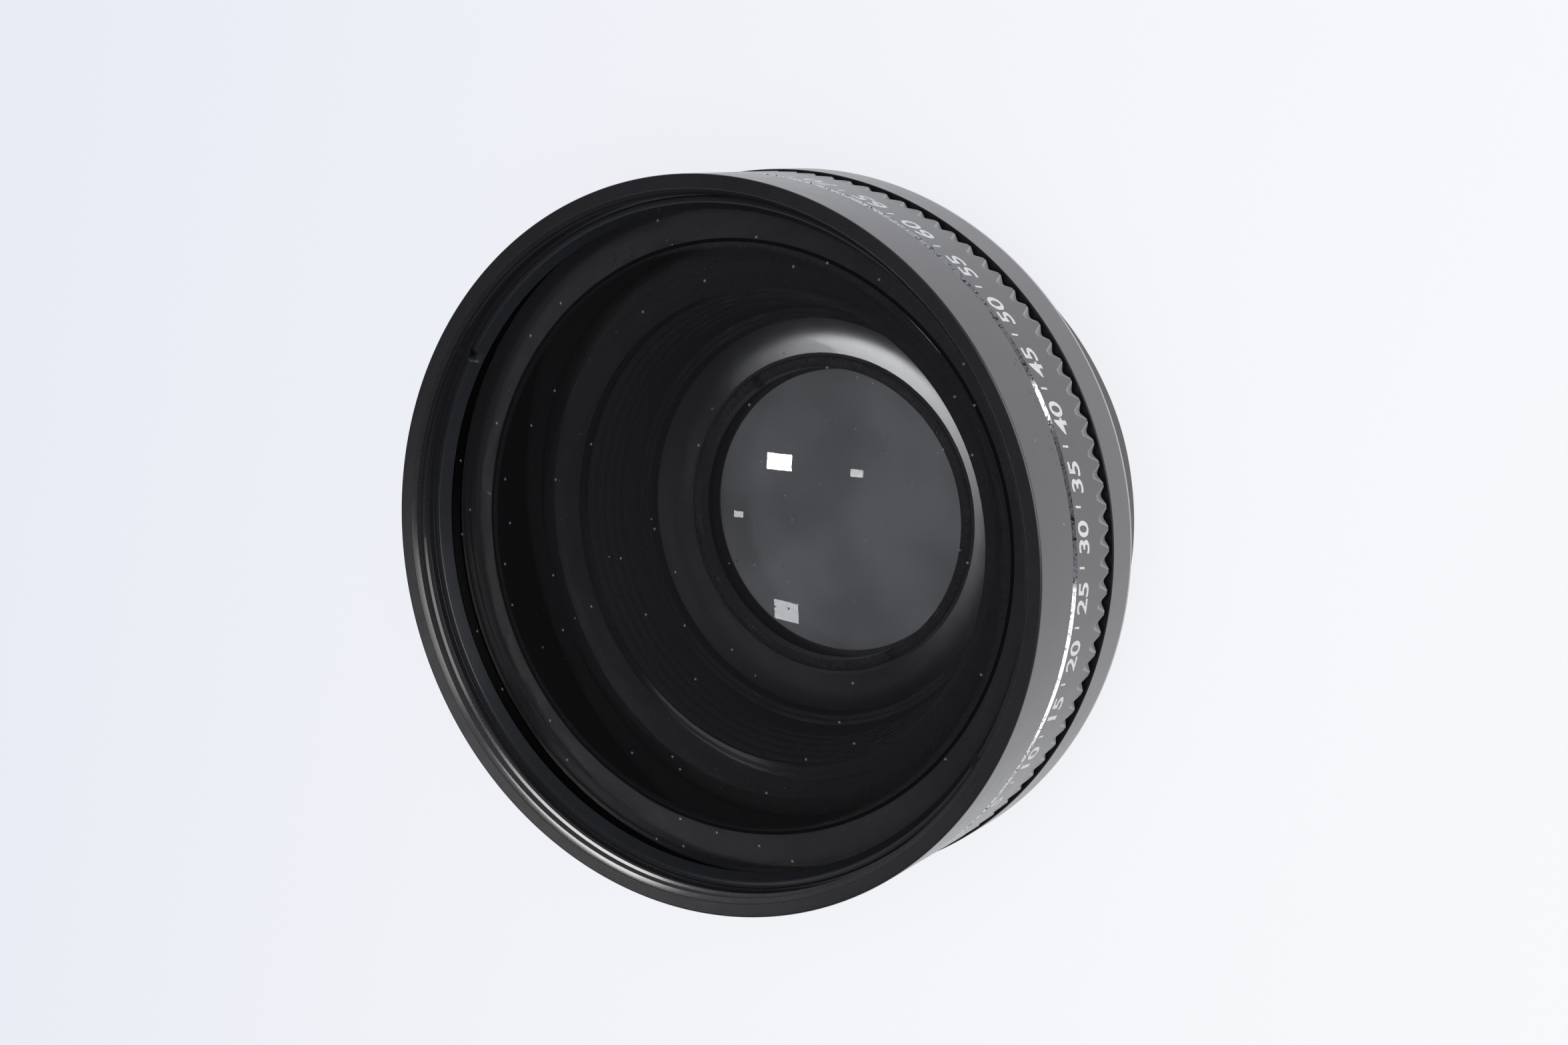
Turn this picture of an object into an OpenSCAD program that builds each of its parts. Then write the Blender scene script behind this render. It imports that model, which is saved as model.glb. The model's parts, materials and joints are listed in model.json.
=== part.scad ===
// Wide-angle conversion lens with a screw-off rear unit, standing on its mounting thread.
// +Z is the optical axis and points out of the front. The origin is the centre of the rear end.
// Threads are plain cylinders at their pitch or core radius.

/* [Band] */
// Diameter of the front band, the marking band and the grip edge
band_d = 70; // [62:0.1:84]

/* [Mounting thread and neck] */
// Width of the shoulder between the neck and the pitch line of the mounting thread
mount_shoulder_w = 1.85; // [1.2:0.05:3]
// Length of the mounting thread
mount_thread_len = 4.5; // [4:0.1:6]
// Width of the relief groove behind the mounting thread
mount_relief_len = 0.8; // [0.4:0.1:1.5]
// Depth of that relief groove
mount_relief_depth = 0.3; // [0.1:0.05:0.5]
// Distance from the band's surface in to the plain neck
neck_set_in = 4.4; // [3:0.1:5.2]
// Length of the plain neck
neck_len = 12.3; // [11:0.1:18]
// Chamfer on the outer edges of the thread, the neck and the rim of the tunnel
edge_chamfer = 0.3; // [0.1:0.05:0.4]

/* [Rear band] */
// Distance that the rear band stands out beyond the front unit's band
rear_band_proud = 0.2; // [0:0.05:0.5]
// Length of the rear band
rear_band_len = 4.8; // [3:0.1:10]
// Chamfer on both edges of the rear band
rear_band_chamfer = 0.35; // [0.1:0.05:0.8]
// Width of the open seam between the rear band and the front unit
seam_gap = 0.3; // [0.1:0.05:0.8]
// Distance from the band's surface in to the seat that the front unit screws down onto
seam_set_in = 1.8; // [1.5:0.1:3]

/* [Screw joint between the units] */
// Wall of the front unit outside its female thread
joint_wall = 4.5; // [4.2:0.1:5.5]
// Height of a thread crest above the core
joint_crest = 0.25; // [0.1:0.05:0.3]
// Radial clearance between the crests and the female thread
joint_clearance = 0.05; // [0.02:0.01:0.1]
// Thread engagement when the units are screwed home
joint_engagement = 2.25; // [1.5:0.75:2.25]
// Free height above the male thread inside the front unit
joint_relief = 0.5; // [0.2:0.1:0.8]

/* [Tunnel and bowl] */
// Wall between the joint's male thread and the tunnel's rim
rim_wall = 3.4; // [2:0.1:5]
// Depth of the cone below that rim
rim_cone_h = 1.2; // [0.5:0.1:2]
// Width of the cone below that rim
rim_cone_w = 2.5; // [1:0.1:3.5]
// Distance by which the tunnel narrows down to the bowl, on each side
tunnel_taper = 1; // [0.5:0.1:2]
// Height of the bowl's outer edge above the rear end
bowl_top_z = 13; // [12:0.1:14]
// Height and width of each of the two steps above the bowl
bowl_step = 0.5; // [0.2:0.05:0.8]
// Height of the bowl's inner edge above the rear end
bowl_low_z = 8.6; // [8.2:0.1:9.4]
// Radius of the bowl's hollow curve
bowl_cove_r = 5.2; // [4.5:0.1:9]
// Number of fine light-trap grooves in the tunnel
trap_count = 5; // [0:1:6]
// Pitch of the light-trap grooves
trap_pitch = 1.4; // [0.8:0.1:1.5]
// Depth of the light-trap grooves
trap_depth = 0.25; // [0.1:0.05:0.5]

/* [Rear skirt] */
// Wall of the skirt inside the pitch line of the mounting thread
skirt_wall = 2.15; // [1.5:0.05:3]
// Depth of the recess inside the skirt
skirt_recess = 3.4; // [2.5:0.1:4]
// Wall of the boss round the rear glass
boss_wall = 2.5; // [2:0.1:4]
// Distance from the rear end to the boss
boss_set_back = 1.7; // [1.2:0.1:2.2]

/* [Rear glass pair] */
// Width of the bowl and its steps, from the tunnel in to the edge of the cemented pair
bowl_w = 5.8; // [5.4:0.1:8]
// Width of the lip behind the pair
rear_lip_w = 1.6; // [1.2:0.1:3]
// Thickness of that lip
rear_lip_h = 0.9; // [0.7:0.1:1.3]
// Edge height of the front glass of the pair
crown_edge_h = 1.6; // [1.2:0.1:2]
// Edge height of the rear glass of the pair
flint_edge_h = 2.4; // [2.2:0.1:2.6]
// Radius of the pair's front face, which bulges to the front
crown_face_r = 70; // [60:1:120]
// Radius of the cemented face, which bulges to the rear
cement_face_r = 95; // [90:1:160]
// Radius of the pair's rear face, which bulges to the rear
flint_face_r = 260; // [240:5:500]
// Radial width of the rear retaining ring's thread outside the glass
rear_ring_overlap = 0.6; // [0.3:0.05:0.8]
// Width of the rear retaining ring's foot on the glass
rear_ring_grip = 1.2; // [0.8:0.1:2]
// Width of the flat land between that ring and the bowl
bowl_land_w = 0.4; // [0.2:0.05:0.8]

/* [Front barrel] */
// Length of the fluted grip edge
flute_len = 1.85; // [1:0.05:3]
// Number of flutes round the grip edge
flute_count = 110; // [40:1:130]
// Depth of a flute at the rear face
flute_depth = 0.62; // [0.3:0.02:0.8]
// Share of the pitch that is left as a crest at the rear face
flute_crest = 0.16; // [0.05:0.01:0.4]
// Width of a flute's root
flute_root_w = 0.3; // [0.1:0.05:0.5]
// Length of the marking band
mark_band_len = 5.9; // [4:0.1:10]
// Width of the bright bevel between the bands
bevel_w = 0.85; // [0.4:0.02:1]
// Depth of the bright bevel
bevel_depth = 0.5; // [0.2:0.05:0.6]
// Length of the front band
front_band_len = 6.2; // [5:0.05:10]
// Height of the rim above the front band
front_rim_h = 0.7; // [0.6:0.05:1.2]
// Radius of the rim's rounded outer edge
front_rim_round = 0.6; // [0.2:0.05:0.6]

/* [Filter thread] */
// Wall outside the pitch line of the female filter thread (67 mm nominal)
filter_wall = 1.75; // [1.4:0.05:2.5]
// Depth of the mouth chamfer in front of the thread
filter_mouth = 0.4; // [0.2:0.05:0.5]
// Length of the filter thread
filter_thread_len = 1.75; // [1.5:0.05:2.5]
// Width of the run-out groove below the thread
filter_runout_w = 0.6; // [0.3:0.05:1]
// Depth of the run-out groove
filter_runout_depth = 0.35; // [0.1:0.05:0.5]

/* [Front glass] */
// Distance from the filter thread's pitch line in to the ring's thread
front_ring_set_in = 0.3; // [0.2:0.05:0.6]
// Radius of its front face, which bulges to the front
front_face_r = 150; // [130:1:400]
// Radius of its hollow rear face
front_hollow_r = 62; // [55:1:90]
// Width of the flat land round the hollow rear face
front_land_w = 4.4; // [3.9:0.1:6]
// Glass thickness on the axis
front_centre_t = 3; // [2:0.1:3.5]
// Radial clearance round each glass and ring
seat_clearance = 0.05; // [0.02:0.01:0.1]

/* [Front retaining ring] */
// Radial width of the ring's thread outside the glass
front_ring_overlap = 0.5; // [0.3:0.05:0.6]
// Height of the ring
front_ring_h = 1.25; // [1:0.05:1.8]
// Distance that the ring's front edge reaches in over the glass
front_ring_reach = 0.1; // [0:0.05:0.4]
// Width of the ring's foot on the glass
front_ring_grip = 0.7; // [0.6:0.05:1.2]

/* [Spanner slots] */
// Width of a spanner slot
slot_w = 0.9; // [0.5:0.1:2]
// Depth of a spanner slot
slot_depth = 0.6; // [0.3:0.1:0.9]
// Direction of the front ring's slots, in degrees from +X
front_slot_angle = 70; // [0:1:180]
// Direction of the rear ring's slots, in degrees from +X
rear_slot_angle = 42; // [0:1:180]

/* [Hidden] */
$fn = 180;
arc_fn = 720;
cut = 1;

// Diameters of the front unit, from the band inwards
filter_thread_d = band_d - 2 * filter_wall;
front_ring_thread_d = filter_thread_d - 2 * front_ring_set_in;
front_pocket_d = front_ring_thread_d - 2 * front_ring_overlap;
front_glass_d = front_pocket_d - 2 * seat_clearance;
front_ring_top_d = front_glass_d - 2 * front_ring_reach;
front_ring_foot_d = front_glass_d - 2 * front_ring_grip;
front_hollow_d = front_glass_d - 2 * front_land_w;
front_seat_bore_d = front_hollow_d + 2 * edge_chamfer;

// Diameters of the rear unit, from the band inwards
rear_band_d = band_d + 2 * rear_band_proud;
seam_seat_d = band_d - 2 * seam_set_in;
neck_d = band_d - 2 * neck_set_in;
mount_thread_d = neck_d - 2 * mount_shoulder_w;
skirt_bore_d = mount_thread_d - 2 * skirt_wall;
joint_bore_d = band_d - 2 * joint_wall;
joint_core_d = joint_bore_d - 2 * joint_clearance - 2 * joint_crest;
rim_d = joint_core_d - 2 * rim_wall;
tunnel_top_d = rim_d - 2 * rim_cone_w;
tunnel_low_d = tunnel_top_d - 2 * tunnel_taper;
bowl_top_d = tunnel_low_d - 4 * bowl_step;
rear_glass_d = tunnel_low_d - 2 * bowl_w;
rear_pocket_d = rear_glass_d + 2 * seat_clearance;
rear_ring_thread_d = rear_pocket_d + 2 * rear_ring_overlap;
bowl_low_d = rear_ring_thread_d + 2 * bowl_land_w;
rear_ring_bore_d = rear_glass_d - 2 * rear_ring_grip;
rear_lip_d = rear_glass_d - 2 * rear_lip_w;
boss_d = rear_glass_d + 2 * boss_wall;

// Heights of the rear unit above the rear end
neck_z = mount_thread_len;
rear_band_z = neck_z + neck_len;
seam_z = rear_band_z + rear_band_len;
seat_z = seam_z + seam_gap;
joint_top_z = seat_z + joint_engagement;
tunnel_top_z = joint_top_z - rim_cone_h;

// Rear glass pair and its retaining ring
lip_z = boss_set_back + rear_lip_h;
pair_z = lip_z + sag(flint_face_r, rear_glass_d / 2) - sag(flint_face_r, rear_lip_d / 2);
cement_z = pair_z + flint_edge_h;
crown_top_z = cement_z + crown_edge_h;
rear_ring_seat_z = crown_top_z + seat_clearance;
rear_ring_foot_z = crown_top_z + seat_clearance
                   + sag(crown_face_r, rear_glass_d / 2) - sag(crown_face_r, rear_ring_bore_d / 2);

// Heights of the front barrel
flute_top_z = seat_z + flute_len;
mark_top_z = flute_top_z + mark_band_len;
bevel_top_z = mark_top_z + bevel_w;
band_top_z = bevel_top_z + front_band_len;
rim_top_z = band_top_z + front_rim_h;
joint_bore_top_z = joint_top_z + joint_relief;

// Filter thread, front retaining ring and front element
thread_top_z = rim_top_z - filter_mouth;
runout_top_z = thread_top_z - filter_thread_len;
front_ring_top_z = runout_top_z - filter_runout_w;
front_ring_foot_z = front_ring_top_z - front_ring_h;
front_vertex_z = front_ring_foot_z - seat_clearance + sag(front_face_r, front_ring_foot_d / 2);
front_edge_z = front_vertex_z - sag(front_face_r, front_glass_d / 2);
front_ring_seat_z = front_edge_z + seat_clearance;
hollow_apex_z = front_vertex_z - front_centre_t;
front_seat_z = hollow_apex_z - sag(front_hollow_r, front_hollow_d / 2);

// Depth of a spherical face of radius r at distance x from its axis
function sag(r, x) = r - sqrt(r * r - x * x);

// Centre of a spherical face that bulges to the front, from the height of its edge
function front_bulge_z(r, edge_d, edge_z) = edge_z + sag(r, edge_d / 2) - r;

// Centre of a spherical face that bulges to the rear, from the height of its edge
function rear_bulge_z(r, edge_d, edge_z) = edge_z - sag(r, edge_d / 2) + r;

// A disc of radius r whose centre lies on the axis, cut to the right half
module half_disc(r, centre_z) {
    translate([0, centre_z])
        intersection() {
            circle(r = r, $fn = arc_fn);
            translate([0, -r])
                square([r, 2 * r]);
        }
}

// A retaining ring: a threaded rim on a shoulder, a foot on the glass and two spanner slots
module retaining_ring(thread_d, shoulder_d, foot_d, top_d, shoulder_z, foot_z, top_z, slot_angle) {
    outer_r = thread_d / 2 - seat_clearance;
    difference() {
        rotate_extrude()
            polygon([
                [foot_d / 2, foot_z],
                [shoulder_d / 2, shoulder_z],
                [outer_r, shoulder_z],
                [outer_r, top_z],
                [top_d / 2, top_z]
            ]);
        rotate([0, 0, slot_angle])
            translate([-thread_d, -slot_w / 2, top_z - slot_depth])
                cube([2 * thread_d, slot_w, slot_depth + cut]);
    }
}

// The air above the bowl: a cove between the land round the ring and the lower step
module bowl_air() {
    inner = [bowl_low_d / 2, bowl_low_z];
    outer = [bowl_top_d / 2, bowl_top_z - 2 * bowl_step];
    chord = outer - inner;
    half = norm(chord) / 2;
    away = sqrt(bowl_cove_r * bowl_cove_r - half * half);
    normal = [-chord[1], chord[0]] / norm(chord);
    centre = (inner + outer) / 2 + away * normal;
    intersection() {
        translate(centre)
            circle(r = bowl_cove_r, $fn = arc_fn);
        translate(inner)
            square([chord[0], chord[1] + cut]);
    }
}

// Light-trap grooves: each has a flat floor towards the rear and a sloping roof
module trap_air() {
    slope = (tunnel_top_d - tunnel_low_d) / 2 / (tunnel_top_z - bowl_top_z);
    for (i = [1 : 1 : trap_count]) {
        z = tunnel_top_z - trap_pitch * i;
        r = tunnel_top_d / 2 - slope * trap_pitch * i;
        polygon([
            [r - cut, z],
            [r + trap_depth, z],
            [r, z + trap_pitch / 2],
            [r - cut, z + trap_pitch / 2]
        ]);
    }
}

// Half section of the rear unit's wall, with the bowl still filled up to its lower step
module macro_section() {
    thread_r = mount_thread_d / 2;
    relief_z = neck_z - mount_relief_len;
    neck_r = neck_d / 2;
    band_r = rear_band_d / 2;
    core_r = joint_core_d / 2;
    tunnel_r = tunnel_low_d / 2;
    lower_step_z = bowl_top_z - 2 * bowl_step;
    polygon([
        [skirt_bore_d / 2 + edge_chamfer, 0],
        [thread_r - edge_chamfer, 0],
        [thread_r, edge_chamfer],
        [thread_r, relief_z],
        [thread_r - mount_relief_depth, relief_z],
        [thread_r - mount_relief_depth, neck_z],
        [neck_r - edge_chamfer, neck_z],
        [neck_r, neck_z + edge_chamfer],
        [neck_r, rear_band_z],
        [band_r - rear_band_chamfer, rear_band_z],
        [band_r, rear_band_z + rear_band_chamfer],
        [band_r, seam_z - rear_band_chamfer],
        [band_r - rear_band_chamfer, seam_z],
        [seam_seat_d / 2, seam_z],
        [seam_seat_d / 2, seat_z],
        [core_r, seat_z],
        [core_r, joint_top_z - edge_chamfer],
        [core_r - edge_chamfer, joint_top_z],
        [rim_d / 2, joint_top_z],
        [tunnel_top_d / 2, tunnel_top_z],
        [tunnel_r, bowl_top_z],
        [tunnel_r - bowl_step, bowl_top_z],
        [tunnel_r - bowl_step, bowl_top_z - bowl_step],
        [bowl_top_d / 2, bowl_top_z - bowl_step],
        [bowl_top_d / 2, lower_step_z],
        [bowl_low_d / 2, lower_step_z],
        [bowl_low_d / 2, bowl_low_z],
        [rear_ring_thread_d / 2, bowl_low_z],
        [rear_ring_thread_d / 2, rear_ring_seat_z],
        [rear_pocket_d / 2, rear_ring_seat_z],
        [rear_pocket_d / 2, lip_z],
        [rear_lip_d / 2, lip_z],
        [rear_lip_d / 2, lip_z - rear_lip_h / 2],
        [rear_lip_d / 2 + rear_lip_h / 2, boss_set_back],
        [boss_d / 2, boss_set_back],
        [boss_d / 2, skirt_recess],
        [skirt_bore_d / 2, skirt_recess],
        [skirt_bore_d / 2, edge_chamfer]
    ]);
}

module macro_barrel() {
    color([0.16, 0.16, 0.17])
        rotate_extrude()
            difference() {
                macro_section();
                bowl_air();
                trap_air();
            }
}

// The ball-shaped space that the cemented face closes
module cement_disc() {
    half_disc(cement_face_r, rear_bulge_z(cement_face_r, rear_glass_d, cement_z));
}

// Front glass of the rear pair
module macro_crown_glass() {
    color([0.62, 0.68, 0.72, 0.5])
        rotate_extrude()
            intersection() {
                translate([0, pair_z])
                    square([rear_glass_d / 2, rear_glass_d]);
                half_disc(crown_face_r, front_bulge_z(crown_face_r, rear_glass_d, crown_top_z));
                cement_disc();
            }
}

// Rear glass of the rear pair
module macro_flint_glass() {
    color([0.55, 0.60, 0.66, 0.5])
        rotate_extrude()
            difference() {
                intersection() {
                    translate([0, pair_z - cut])
                        square([rear_glass_d / 2, flint_edge_h + cut]);
                    half_disc(flint_face_r, rear_bulge_z(flint_face_r, rear_glass_d, pair_z));
                }
                cement_disc();
            }
}

module macro_retaining_ring() {
    color([0.12, 0.12, 0.13])
        retaining_ring(
            rear_ring_thread_d, rear_pocket_d, rear_ring_bore_d, rear_ring_bore_d,
            rear_ring_seat_z, rear_ring_foot_z, bowl_low_z, rear_slot_angle
        );
}

module front_element() {
    color([0.62, 0.70, 0.76, 0.5])
        rotate_extrude()
            difference() {
                intersection() {
                    translate([0, front_seat_z])
                        square([front_glass_d / 2, front_glass_d]);
                    half_disc(front_face_r, front_bulge_z(front_face_r, front_glass_d, front_edge_z));
                }
                half_disc(front_hollow_r, hollow_apex_z - front_hollow_r);
            }
}

// Half section of the front barrel's wall, with the rim's outer edge rounded
module front_section() {
    band_r = band_d / 2;
    thread_r = filter_thread_d / 2;
    mouth_r = thread_r + filter_mouth;
    bevel_floor_z = bevel_top_z - bevel_w / 8;
    intersection() {
        polygon([
            [joint_bore_d / 2, seat_z],
            [band_r, seat_z],
            [band_r, mark_top_z],
            [band_r - bevel_depth, bevel_floor_z],
            [band_r, bevel_top_z],
            [band_r, rim_top_z],
            [mouth_r, rim_top_z],
            [thread_r, thread_top_z],
            [thread_r, runout_top_z],
            [thread_r + filter_runout_depth, runout_top_z],
            [thread_r + filter_runout_depth, front_ring_top_z],
            [front_ring_thread_d / 2, front_ring_top_z],
            [front_ring_thread_d / 2, front_ring_seat_z],
            [front_pocket_d / 2, front_ring_seat_z],
            [front_pocket_d / 2, front_seat_z],
            [front_seat_bore_d / 2, front_seat_z],
            [front_seat_bore_d / 2, joint_bore_top_z],
            [joint_bore_d / 2, joint_bore_top_z]
        ]);
        union() {
            square([band_r, rim_top_z - front_rim_round]);
            square([band_r - front_rim_round, rim_top_z]);
            translate([band_r - front_rim_round, rim_top_z - front_rim_round])
                circle(r = front_rim_round);
        }
    }
}

// One flute: a V with a narrow root that starts on the band and deepens towards the rear face
module flute() {
    band_r = band_d / 2;
    pitch = PI * band_d / flute_count;
    half_w = pitch * (1 - flute_crest) / 2;
    spread = (half_w - flute_root_w / 2) / flute_depth;
    height = 2 * flute_depth;
    half_top = flute_root_w / 2 + spread * height;
    run = flute_len + 2 * cut;
    tilt = atan2(flute_depth, flute_len);
    translate([band_r, 0, flute_top_z])
        rotate([0, tilt, 0])
            translate([0, 0, -run])
                linear_extrude(run + cut)
                    polygon([
                        [0, -flute_root_w / 2],
                        [height, -half_top],
                        [height, half_top],
                        [0, flute_root_w / 2]
                    ]);
}

module front_barrel() {
    color([0.17, 0.17, 0.18])
        difference() {
            rotate_extrude()
                front_section();
            for (i = [0 : 1 : flute_count - 1])
                rotate([0, 0, 360 * i / flute_count])
                    flute();
        }
}

module front_retaining_ring() {
    color([0.20, 0.21, 0.24])
        retaining_ring(
            front_ring_thread_d, front_pocket_d, front_ring_foot_d, front_ring_top_d,
            front_ring_seat_z, front_ring_foot_z, front_ring_top_z, front_slot_angle
        );
}

macro_barrel();
macro_crown_glass();
macro_flint_glass();
macro_retaining_ring();
front_element();
front_barrel();
front_retaining_ring();
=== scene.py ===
"""Looks of the wide-angle conversion lens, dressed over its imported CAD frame.

Sizes are in millimetres in the classes and become metres when a mesh is made.
The frame's origin is the centre of the rear end, and +Z points out of the front glass.
"""

import json
import logging
import math
from dataclasses import dataclass, field
from enum import Enum, IntEnum
from typing import Callable, Optional, Sequence, Union

import bmesh
import bpy
from mathutils import Matrix, Vector

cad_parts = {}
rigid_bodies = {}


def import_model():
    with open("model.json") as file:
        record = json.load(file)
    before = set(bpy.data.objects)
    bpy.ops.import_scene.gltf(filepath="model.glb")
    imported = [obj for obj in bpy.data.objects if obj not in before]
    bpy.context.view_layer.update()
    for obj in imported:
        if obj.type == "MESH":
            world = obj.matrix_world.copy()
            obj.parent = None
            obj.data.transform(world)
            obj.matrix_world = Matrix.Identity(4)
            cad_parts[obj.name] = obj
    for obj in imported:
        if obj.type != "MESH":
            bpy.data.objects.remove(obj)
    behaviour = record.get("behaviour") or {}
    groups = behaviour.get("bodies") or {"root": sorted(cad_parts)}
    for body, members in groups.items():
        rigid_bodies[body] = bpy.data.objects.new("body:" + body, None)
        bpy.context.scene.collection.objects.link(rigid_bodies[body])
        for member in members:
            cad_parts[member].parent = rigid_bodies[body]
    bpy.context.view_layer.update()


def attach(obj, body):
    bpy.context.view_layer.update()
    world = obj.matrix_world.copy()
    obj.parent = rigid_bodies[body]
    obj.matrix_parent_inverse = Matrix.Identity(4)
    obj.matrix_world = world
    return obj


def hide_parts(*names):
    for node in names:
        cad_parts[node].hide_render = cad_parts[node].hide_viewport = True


LOG = logging.getLogger("lens")
MM = 0.001
Point = tuple[float, float]
SectionPoint = tuple[float, float, int]
Number = Union[int, float]
Triple = tuple[float, float, float]
Colour = Triple


class Body(Enum):
    """CAD bodies that pieces ride on."""

    MACRO_UNIT = "macro_unit"
    FRONT_GLASS = "front_glass"
    FRONT_UNIT = "front_unit"


class Hand(Enum):
    """Side of a wall on which a thread ridge stands."""

    OUTWARD = 1
    INWARD = -1


class Reach(Enum):
    """What a studio lamp lights."""

    GLASS = "the glass alone"
    OPAQUE = "all but the glass"
    METAL = "the lens but not its glass"
    BOWL = "the bowl round the rear glass"
    THREAD = "the filter thread and its mouth"
    BEVEL = "the bright bevel"


class WallFinish(IntEnum):
    """Places of the rear wall's materials."""

    # Flat black of the light trap and inner faces, also painted shade on the seam faces next to
    # the front unit.
    BODY = 0
    TRAP = 1
    # Light grey edge: wear and a painted highlight line.
    BOWL = 2
    # Lighter band black: painted sheen.
    RUBBED = 3
    BAND = 4


class BarrelFinish(IntEnum):
    """Places of the front barrel's materials."""

    BLACK = 0
    # Flute faces, painted light grey as a reflection of the backdrop.
    FLUTE = 1
    # Flat black of the seat's bore, also painted shade on the gap face next to the rear band.
    FLAT = 2


class GlassFinish(IntEnum):
    """Places of a glass's materials."""

    OUTER = 0
    LACQUER = 1
    HOLLOW = 2


GLASS_PIECES = ("front_glass_element", "rear_pair")
OWN_LAMP = {
    "bowl_skin": Reach.BOWL,
    "filter_thread_ridge": Reach.THREAD,
    "filter_mouth_skin": Reach.THREAD,
    "bright_bevel_ring": Reach.BEVEL,
}


class Value:
    """A socket of a node tree that adds Math nodes when it stands in an expression."""

    def __init__(self, graph: "Tree", socket: bpy.types.NodeSocket) -> None:
        """Keep the socket and its tree.

        Args:
            graph: the node tree's builder.
            socket: the output that carries the number.
        """
        self.graph = graph
        self.socket = socket

    def _math(self, operation: str, first: "Operand", second: "Operand" = 0.0) -> "Value":
        """Add one Math node.

        Args:
            operation: the node's operation.
            first: left operand.
            second: right operand.

        Returns:
            The node's result.
        """
        made = self.graph.node("ShaderNodeMath", {"operation": operation}, {0: first, 1: second})
        return Value(self.graph, made.outputs[0])

    def __add__(self, other: "Operand") -> "Value":
        """Sum."""
        return self._math("ADD", self, other)

    def __radd__(self, other: "Operand") -> "Value":
        """Reflected sum."""
        return self._math("ADD", other, self)

    def __sub__(self, other: "Operand") -> "Value":
        """Difference."""
        return self._math("SUBTRACT", self, other)

    def __rsub__(self, other: "Operand") -> "Value":
        """Reflected difference."""
        return self._math("SUBTRACT", other, self)

    def __mul__(self, other: "Operand") -> "Value":
        """Product."""
        return self._math("MULTIPLY", self, other)

    def __rmul__(self, other: "Operand") -> "Value":
        """Reflected product."""
        return self._math("MULTIPLY", other, self)

    def power(self, exponent: "Operand") -> "Value":
        """This number raised to a power."""
        return self._math("POWER", self, exponent)

    def above(self, edge: Number, soft: Number) -> "Value":
        """Smooth step from 0 below an edge to 1 above it.

        Args:
            edge: the middle of the step.
            soft: half the width of the step.

        Returns:
            A mask from 0 to 1.
        """
        made = self.graph.node(
            "ShaderNodeMapRange",
            {"interpolation_type": "SMOOTHSTEP"},
            {"Value": self, "From Min": edge - soft, "From Max": edge + soft},
        )
        return Value(self.graph, made.outputs["Result"])

    def below(self, edge: Number, soft: Number) -> "Value":
        """Smooth step from 1 below an edge to 0 above it."""
        return 1.0 - self.above(edge, soft)

    def band(self, low: Number, high: Number, soft: Number) -> "Value":
        """Mask that is 1 between two edges."""
        return self.above(low, soft) * self.below(high, soft)


Operand = Union[Number, Value]


class Tree:
    """Builder of the nodes of one node tree."""

    def __init__(self, tree: bpy.types.NodeTree) -> None:
        """Empty the tree.

        Args:
            tree: the node tree.
        """
        self.tree = tree
        self.tree.nodes.clear()

    def node(
        self,
        kind: str,
        settings: Optional[dict[str, object]] = None,
        sockets: Optional[dict[Union[int, str], object]] = None,
    ) -> bpy.types.Node:
        """Add a node.

        Args:
            kind: the node's type.
            settings: its properties, which are set first; stops are those of its colour ramp.
            sockets: values or links of its inputs, by name or place.

        Returns:
            The node.
        """
        made = self.tree.nodes.new(kind)
        for key, value in (settings or {}).items():
            if key != "stops":
                setattr(made, key, value)
                continue
            for element, (position, colour) in zip(made.color_ramp.elements, value):
                element.position, element.color = position, (*colour, 1.0)
        for key, value in (sockets or {}).items():
            self.feed(made.inputs[key], value)
        return made

    def feed(self, target: bpy.types.NodeSocket, value: object) -> None:
        """Link or set one input.

        Args:
            target: the input.
            value: a Value, a socket, a number or a tuple.
        """
        if isinstance(value, Value):
            self.tree.links.new(value.socket, target)
        elif isinstance(value, bpy.types.NodeSocket):
            self.tree.links.new(value, target)
        elif isinstance(value, tuple) and len(value) == 3 and target.type == "RGBA":
            target.default_value = (*value, 1.0)
        else:
            target.default_value = value


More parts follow.
